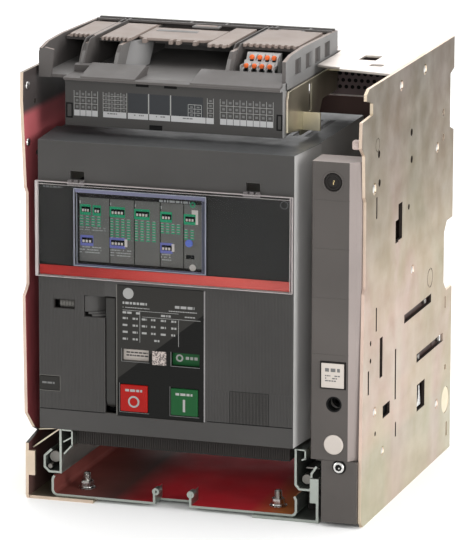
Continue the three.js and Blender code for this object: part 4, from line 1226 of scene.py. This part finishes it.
def front_ribs():
    """The two ribbed fields beside the rating panel, laid round their openings."""
    fields = Shape("breaker")
    top = P_Z0 - 0.6
    band = 77.7
    left = V_X0 + 5.3
    gap = CENTRE - 49.8
    grip = CENTRE - 67
    reset_right = CENTRE - 87.2
    front = FACE - 0.05
    right = V_X1 - 5.3
    start = G_X1 + 2.4
    patch = (CENTRE + 53, CENTRE + 84.4)
    patch_top = 103
    counter = (CENTRE - 91.9, CENTRE - 74.6)
    for x, z in (
        ((left, gap), (171.3, top)),
        (counter, (166.7, 171.3)),
        ((left, CENTRE - 92), (104.4, 171.3)),
        ((CENTRE - 74.5, grip - 0.3), (104.4, 171.3)),
        (counter, (104.4, 159.2)),
        ((grip - 0.2, gap), (104.4, 153.6)),
        ((reset_right, gap), (band, 104.4)),
        ((left, reset_right - 0.2), (band, 92)),
        ((start, right), (patch_top + 0.3, top)),
        ((start, patch[0] - 0.3), (band, patch_top)),
        ((patch[1] + 0.3, right), (band, patch_top)),
    ):
        ribbed(fields, x, z, front)
    ribbed(fields, patch, (band, patch_top - 0.1), front + 0.05)
    fields.piece("front_ribs", "cover")
    dark = Shape("breaker")
    y = (FACE - 0.12, FACE + 0.2)
    dark.box((left, gap), y, (band - 0.75, band - 0.05))
    dark.box((start, right), y, (band - 0.75, band - 0.05))
    dark.frame_xz((patch[0] - 0.3, patch[1] + 0.3), (band, patch_top + 0.25), y, 0.32)
    dark.piece("front_seams", "seam")
    cross = Shape("breaker")
    for i in range(1, 12):
        z = band + i * (patch_top - band) / 12
        cross.box(patch, (FACE - 0.36, FACE + 0.2), (z - 0.12, z + 0.12))
    cross.piece("patch_cross_lines", "cover_band")


def grip_and_counter():
    x0, x1 = CENTRE - 91.7, CENTRE - 74.8
    z0, z1 = 159.4, 166.5
    window = Shape("breaker")
    window.frame_xz((x0 - 0.5, x1 + 0.5), (z0 - 0.5, z1 + 0.5), (FACE - 0.25, FACE + 2.5), 0.8)
    window.piece("counter_frame", "dark", 0.15)
    counter = Shape("breaker")
    wheels = 5
    pitch = (x1 - x0 - 5) / wheels
    for i in range(wheels):
        left = x0 + 4 + i * pitch
        counter.rod("x", 4.2, (left + 0.15, left + pitch - 0.15), (FACE + 6, (z0 + z1) / 2), 32)
    counter.piece("counter_wheels", "trip_face")
    boxes("counter_back", "seam", [
        ((x0 - 1, x1 + 1), (FACE + 10.5, FACE + 11.5), (z0 - 2, z1 + 2)),
    ], body="breaker")
    scoop = Shape("breaker")
    steps = 10
    left = CENTRE - 66.4
    deep = FACE + 12
    for low, high, lead in ((154.4, 156.2, 6), (156.2, 158, 3), (158, 170.6, 0)):
        outline = [(left + 16.2, deep + 1), (left, deep + 1)]
        for i in range(steps + 1):
            bend = math.pi / 2 * i / steps
            place = left + lead + (16.2 - lead) * i / steps
            outline.append((place, FACE + 0.4 + (10.5 - lead) * (1 - math.cos(bend))))
        scoop.prism("z", outline, (low, high))
    scoop.piece("grip_scoop", "cover")


casings()
front_ribs()
grip_and_counter()

# ---------------------------------------------------------------- breaker: trip unit

TRIP = {"x0": CENTRE - 73, "x1": CENTRE + 33.4, "z0": 194.4, "z1": 255.6}


def trip_unit():
    x0, x1, z0, z1 = TRIP["x0"], TRIP["x1"], TRIP["z0"], TRIP["z1"]
    y = extent("trip_unit")[2]
    refine("trip_unit", ["dark"], 0.4)
    plate = Shape("breaker")
    left, right = x0 + 2.3, x1 - 3
    low, high = z0 + 4, z1 - 6.3
    plate.box((left, right), (y - 0.5, y + 0.5), (low, high))
    plate.piece("trip_plate", "trip_face", 0.2)
    face = y - 0.5
    lines = Shape("breaker")
    columns = [x0 + 27.4, x0 + 47.7, x0 + 68.9, x0 + 88]
    for x in columns:
        lines.box((x - 0.45, x + 0.45), (face - 0.1, face + 0.3), (low, high))
    lines.piece("trip_dividers", "dark")
    trip_switches(x0, z0, face)
    trip_print(x0, z0, face)


def trip_switches(x0, z0, face):
    """Banks of small switches, green above and violet below."""
    banks = [
        ("green", 3.0, 42.8, 8.8, 3), ("green", 13.4, 42.6, 6.8, 2), ("green", 27.4, 42.4, 12.6, 4),
        ("green", 47.6, 42.0, 12.6, 4), ("green", 68.9, 41.2, 9.6, 3), ("green", 88.2, 40.6, 9.6, 3),
        ("violet", 3.2, 18.2, 10.6, 3), ("violet", 27.3, 17.8, 12.8, 4), ("violet", 68.9, 16.6, 10, 3),
    ]
    frames = {"green": Shape("breaker"), "violet": Shape("breaker")}
    wells = Shape("breaker")
    keys = Shape("breaker")
    for colour, dx, dz, width, count in banks:
        x, z = x0 + dx, z0 + dz
        frames[colour].box((x, x + width), (face - 0.4, face + 0.3), (z - 0.6, z + 6.6))
        frames[colour].box((x, x + width), (face - 0.2, face + 0.3), (z - 1.8, z - 0.6))
        wells.box((x + 1.3, x + width - 0.4), (face - 0.6, face + 0.2), (z + 0.6, z + 4.8))
        pitch = (width - 2.6) / count
        for i in range(count):
            left = x + 1.9 + i * pitch
            keys.box((left, left + 0.62 * pitch), (face - 1.0, face - 0.3), (z + 1.1, z + 3.0))
    frames["green"].piece("switch_banks_green", "green", 0.15)
    frames["violet"].piece("switch_banks_violet", "violet", 0.15)
    wells.piece("switch_wells", "seam")
    keys.piece("switch_keys", "white")


def trip_print(x0, z0, face):
    green = Shape("breaker")
    white = Shape("breaker")
    y = face - 0.06
    pitch = 2.1
    for dx, dz, width, rows in (
        (2.6, 32.2, 19, 4), (27.4, 23.2, 18.5, 8), (47.6, 23, 19.4, 8),
        (68.9, 30.6, 17.6, 4), (88.4, 27, 10, 4),
    ):
        count = int(width / 4.4)
        for row in range(rows):
            low = z0 + dz + row * pitch
            for i in range(count):
                left = x0 + dx + i * width / count
                green.box((left, left + 3.2), (y, y + 0.2), (low, low + 1.0))
                white.box((left + 0.5, left + 2.6), (y, y + 0.2), (low + 1.15, low + 1.7))
    for dx, dz, width, seed in ((2.4, 9.6, 18, 6), (27.4, 8.6, 17.6, 7), (68.9, 8, 9, 8)):
        left, low = x0 + dx, z0 + dz
        dashes(white, (left, left + width), (low, low + 3 * pitch), y, 3, 0.9, seed=seed, depth=0.2)
    for dx in (2.4, 27.4, 47.6, 68.9):
        white.box((x0 + dx, x0 + dx + 1.2), (y, y + 0.2), (z0 + 50, z0 + 52.2))
    dashes(white, (x0 + 2.4, x0 + 24), (z0 + 27.6, z0 + 31.4), y, 2, 0.6, seed=12, depth=0.2)
    dashes(white, (x0 + 68, x0 + 93), (z0 + 54, z0 + 57), y + 0.35, 1, 1.8, 0.95, seed=9, depth=0.2)
    white.piece("trip_white_print", "print")
    green.piece("trip_green_print", "green")
    ring = Shape("breaker").ring("y", 2.2, 1.3, (face - 0.3, face + 0.4), (x0 + 95.4, z0 + 54.7), 28)
    ring.piece("trip_lamp_ring", "green")
    labels = [((x0 + 94.6, x0 + 99.8), (y - 0.1, y + 0.3), (z0 + 39.2, z0 + 50.6))]
    for x, z in ((x0 + 41, z0 + 18), (x0 + 79.6, z0 + 17)):
        labels.append(((x - 1.4, x + 0.9), (face - 0.5, face + 0.2), (z - 0.4, z + 5.6)))
    boxes("trip_white_labels", "white", labels, body="breaker")

    def button(name, place, radius, rise, crown):
        rim = face - rise
        profile = [(radius, face + 0.3), (radius, rim), (radius - 0.4, rim - crown)]
        Shape("breaker").turned("y", place, profile, 36).piece(f"trip_{name}_button", name)

    button("blue", (x0 + 92.6, z0 + 24.2), 3.0, 0.9, 0.3)
    port = ((x0 + 90, x0 + 96.8), (face - 0.1, face + 0.4), (z0 + 11.6, z0 + 14.8))
    boxes("trip_port", "seam", [port], body="breaker")
    button("white", (x0 + 95.4, z0 + 4.9), 2.6, 0.5, 0.2)


def trip_cover():
    """The clear hinged flap: a thin sheet with a rim, a raised window and a red band."""
    boxes("flap_sheet", "clear", [
        ((P_X0 + 1.4, P_X1 - 1.4), (P_Y0 + 1.0, P_Y0 + 1.9), (P_Z0 + 1.4, P_Z1 - 3.8)),
    ], node="trip_unit_cover")
    top = P_Z1 - 2.4
    y = (P_Y0 + 0.3, P_Y1 - 0.2)
    left = P_X0 - 1.8
    # The rim takes a bright colour: a painted highlight.
    rim = Shape("trip_cover")
    rim.frame_xz((left, P_X1 - 0.05), (P_Z0 + 0.05, top), y, 0.55)
    rim.box((left + 0.5, left + 2.2), y, (P_Z0 + 0.6, top - 0.5))
    rim.box((P_X1 - 2.2, P_X1 - 1.7), y, (P_Z0 + 0.6, top - 0.5))
    rim.box((left + 2.2, P_X1 - 2.2), (P_Y0 + 0.6, P_Y0 + 1.9), (top - 2.6, top - 2.2))
    rim.piece("flap_rim", "edge", 0.2)
    x0, x1 = CENTRE - 74, CENTRE + 34.4
    z0, z1 = 195.1, 257
    # The window frame takes a bright colour: a painted highlight.
    window = Shape("trip_cover")
    window.frame_xz((x0, x1), (z0, z1), (P_Y0 + 0.02, P_Y0 + 1.6), 0.6)
    window.box((x0 + 2.4, x0 + 2.7), (P_Y0 + 0.5, P_Y0 + 1.6), (z0 + 1.9, z1 - 4.6))
    window.piece("flap_window_rim", "edge_blue", 0.25)
    # Painted light and shade on the window bevel: the top bar is lit, the lower and right bars are shaded.
    bars = Shape("trip_cover")
    y = (P_Y0 + 0.5, P_Y0 + 1.6)
    bars.box((x0 + 1.2, x1 - 0.6), y, (z1 - 3.4, z1 - 0.6), 0)
    bars.box((x1 - 3.4, x1 - 0.6), y, (z0 + 0.6, z1 - 3.4), 1)
    bars.box((x0 + 1.2, x1 - 3.4), y, (z0 + 0.6, z0 + 1.8), 1)
    bars.piece("flap_window_bevels", ["painted_bevel_highlight", "painted_bevel_shade"], 0.3)
    low = P_Z0 + 1.6
    x = (P_X0 + 1.6, P_X1 - 1.6)
    band = (x, (P_Y0 + 1.95, P_Y0 + 2.3), (low, low + 7.8))
    line = (x, (P_Y0 + 1.9, P_Y0 + 2.3), (low - 0.6, low - 0.1))
    boxes("flap_red_band", "red", [band], body="trip_cover")
    boxes("flap_white_line", "bold_print", [line], body="trip_cover")
    # The knuckles take a bright colour: painted glints.
    knuckles = Shape("trip_cover")
    for x in (CENTRE - 72.3, CENTRE + 71.2):
        for offset in (-5, 0, 5):
            ends = (x + offset - 1.7, x + offset + 1.7)
            knuckles.rod("x", 1.7, ends, (P_Y0 + 1.9, P_Z1 - 1.8), 20)
        knuckles.box((x - 7, x + 7), (P_Y0 + 0.5, P_Y0 + 1.8), (P_Z1 - 4.6, P_Z1 - 2.2))
    knuckles.piece("flap_knuckles", "knuckle", 0.2)


def fascia():
    """The dark sheet behind the flap, around the trip unit."""
    shape = Shape("breaker")
    y = (FACE - 0.22, FACE + 0.2)
    x0, x1 = V_X0 + 5.0, V_X1 - 5.0
    z0, z1 = P_Z0 + 0.6, P_Z1 - 3.5
    shape.box((x0, TRIP["x0"] - 0.4), y, (z0, z1))
    shape.box((TRIP["x1"] + 0.4, x1), y, (z0, z1))
    shape.box((TRIP["x0"] - 0.4, TRIP["x1"] + 0.4), y, (z0, TRIP["z0"] - 0.4))
    shape.box((TRIP["x0"] - 0.4, TRIP["x1"] + 0.4), y, (TRIP["z1"] + 0.4, z1))
    shape.piece("fascia_sheet", "fascia")
    marks = Shape("breaker")
    dashes(marks, (V_X0 + 9, V_X0 + 25), (z1 - 6.5, z1 - 3), FACE - 0.3, 1, 1.5, seed=21)
    marks.piece("fascia_marks", "faint_print")
    badge = Shape("breaker").ring("y", 3.2, 2.7, (FACE - 0.34, FACE), (77, 254), 36)
    badge.piece("fascia_badge", "faint_print", slot="dark_plastic")


trip_unit()
fascia()
trip_cover()

# ---------------------------------------------------------------- breaker: controls


def rating_panel():
    refine("rating_panel", ["panel"], 0.35)
    y = G_Y0 - 0.08
    boxes("panel_right_edge", "trim", [
        ((G_X1 - 0.2, G_X1 + 1.0), (FACE - 0.5, FACE + 0.4), (G_Z0, G_Z1)),
    ], 0.15, body="breaker")
    boxes("panel_left_edge", "trip_face", [
        ((G_X0 - 0.7, G_X0 + 0.1), (FACE - 0.4, FACE + 0.4), (G_Z0, G_Z1)),
    ], 0.1, body="breaker")
    badge = Shape("breaker")
    badge.turned("y", (-50, 175.2), [(4.4, y + 0.4), (4.4, y), (4.1, y - 0.1)], 40)
    badge.piece("panel_badge", "badge")
    table = Shape("breaker")
    x0 = G_X0 + 4.7

    def text(left, right, top, low, height, fill, seed):
        dashes(table, (x0 + left, x0 + right), (G_Z1 - top, G_Z1 - low), y, 1, height, fill, seed, 0.2)

    text(0, 20, 16, 13, 1.9, 0.95, 31)
    text(0, 22, 19, 17.2, 0.6, 0.9, 32)
    text(43, 59, 16, 13.4, 2.1, 0.95, 33)
    text(38, 61, 19, 17.6, 0.7, 0.9, 34)
    text(51, 60, 22.6, 21.4, 0.9, 0.9, 37)
    text(0, 15, 23, 20.8, 1.7, 0.95, 35)
    text(24, 40, 23.4, 21.4, 1.6, 0.9, 36)
    for row in range(4):
        top = 27.2 + row * 5.5
        for number, dx in enumerate((0, 8.2, 15.8, 23.4, 31.4, 40.0) if row < 3 else (0, 8.2, 26)):
            text(dx, dx + 4.2, top, top - 1.8, 1.6, 1.0, 40 + 6 * row + number)
    rules = ((0, 46, 19.9, 19.6), (16, 64, 24.4, 24.1), (14, 14.3, 45, 20), (45.8, 46.1, 46, 24.8))
    for left, right, top, low in rules:
        table.box((x0 + left, x0 + right), (y, y + 0.2), (G_Z1 - top, G_Z1 - low))
    table.piece("panel_print", "print")
    boxes("panel_code", "code", [
        ((CENTRE - 10.6, CENTRE + 0.9), (y - 0.02, y + 0.3), (119.5, 130.5)),
    ], body="breaker")
    flags()


def flags():
    for node, material in (("position_flag", "green_button"), ("spring_flag", "white")):
        x0, x1, y0, y1, z0, z1 = extent(node)
        middle = (z0 + z1) / 2
        other = "red_button" if node == "position_flag" else "orange"
        flag = Shape()
        flag.box((x0, x1), (y0, y1), (middle - 0.3, z1), 0)
        flag.box((x0, x1), (y0, y1), (z0, middle - 0.3), 1)
        flag.piece(node + "_fine", [material, other], node=node)
    x0, x1, y0, y1, z0, z1 = extent("position_flag")
    symbols = Shape("position_flag")
    symbols.ring("y", 3.0, 1.7, (y0 - 0.1, y0 + 0.3), (x0 + 6.4, z1 - 6.6), 32)
    dashes(symbols, (x0 + 11.5, x1 - 3), (z1 - 8, z1 - 5.2), y0 - 0.1, 1, 2.3, 1.0, seed=51)
    symbols.box((x0 + 5.6, x0 + 7.2), (y0 - 0.1, y0 + 0.3), (z0 + 3, z0 + 9))
    symbols.piece("position_flag_symbols", "print")
    x0, x1, y0, y1, z0, z1 = extent("spring_flag")
    lines = Shape("spring_flag")
    dashes(lines, (x0 + 3, x1 - 3), (z1 - 9.2, z1 - 4.4), y0 - 0.1, 2, 1.2, 0.95, seed=52)
    lines.piece("spring_flag_lines", "box_front")


def buttons():
    for node, material in (("off_button", "red_button"), ("on_button", "green_button")):
        x0, x1, y0, y1, z0, z1 = extent(node)
        button = Shape()
        button.box((x0, x1), (y0 + 0.1, y0 + 7), (z0, z1))
        x, z = (x0 + x1) / 2, (z0 + z1) / 2
        button.rod("y", 3, (y0 + 6.6, y1), (x, z), 24)
        button.piece(node + "_fine", material, 0.7, 3, node=node)
        symbol = Shape(BODY_OF[node])
        if node == "off_button":
            symbol.ring("y", 4.7, 3.3, (y0, y0 + 0.4), (x, z - 2.6), 40)
        else:
            symbol.box((x - 0.95, x + 0.95), (y0, y0 + 0.4), (z - 7.6, z + 2.4))
        dashes(symbol, (x - 7, x + 7), (z + 5.2, z + 7.4), y0, 1, 1.9, 1.0, seed=61, depth=0.4)
        symbol.piece(node + "_symbol", "print")
    x0, x1, y0, y1, z0, z1 = extent("reset_button")
    boxes("reset_button_fine", "panel", [
        ((x0 + 0.5, x1 - 0.3), (y0 + 0.9, y0 + 9), (z0 + 0.3, z1 - 0.3)),
        ((x0 + 6, x1 - 6), (y0 + 8, y1), (z0 + 3, z1 - 3)),
    ], 0.5, node="reset_button")
    marks = Shape("reset_button")
    dashes(marks, (x0 + 3, x1 - 4), ((z0 + z1) / 2 - 1, (z0 + z1) / 2 + 1), y0 + 0.82, 1, 1.5, 0.95, seed=62)
    marks.piece("reset_marks", "faint_print")
    rim = Shape("breaker")
    rim.frame_xz((x0 + 0.6, x1 + 0.6), (z0 - 0.6, z1 + 0.6), (FACE - 0.45, FACE + 0.5), 0.5)
    rim.piece("reset_rim", "trip_face", 0.1)


def window_painted_highlights():
    """Pale lines on the left and lower edges of each opening in the panel: painted highlights where the
    openings' walls catch the light.
    """
    rims = Shape("breaker")
    areas = [(CENTRE + 4.6, CENTRE + 28.6, 119.4, 131.1), (CENTRE - 36.1, CENTRE - 13, 120.4, 131.1)]
    for node in ("off_button", "on_button"):
        x0, x1, _, _, z0, z1 = extent(node)
        areas.append((x0 - 1.1, x1 + 1.1, z0 - 1.1, z1 + 1.1))
    y = (G_Y0 - 0.25, G_Y0 + 0.5)
    for x0, x1, z0, z1 in areas:
        rims.box((x0, x0 + 0.4), y, (z0, z1))
        rims.box((x0 + 0.4, x1), y, (z0, z0 + 0.4))
    rims.piece("window_painted_highlights", "faint_print", slot="dark_plastic")


def lever():
    refine("charging_lever", ["lever"], 0.9, 3)
    x0, x1 = extent("charging_lever")[:2]
    boxes("lever_well", "seam", [((x0 - 1.6, x1 + 1.6), (-116.4, -115), (76, 173))], body="breaker")


rating_panel()
buttons()
window_painted_highlights()
lever()

# ---------------------------------------------------------------- breaker: inside


def inside():
    for row in ("upper", "lower"):
        for number in (1, 2, 3):
            refine(f"{row}_pole_bar_{number}", ["copper"], 0.4)
    for number in (1, 2, 3):
        refine(f"moving_contact_{number}", ["copper"], 0.4)
        refine(f"arc_chute_{number}", ["chute"], 0.4)
    for node in ("main_shaft", "racking_nut", "lever_pin", "spring_pusher"):
        refine(node, ["bright"], 0.3)
    spring = refine("closing_spring", ["bright"], 0)
    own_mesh(spring)
    refine("mechanism_frame", ["zinc"], 0.3)


inside()
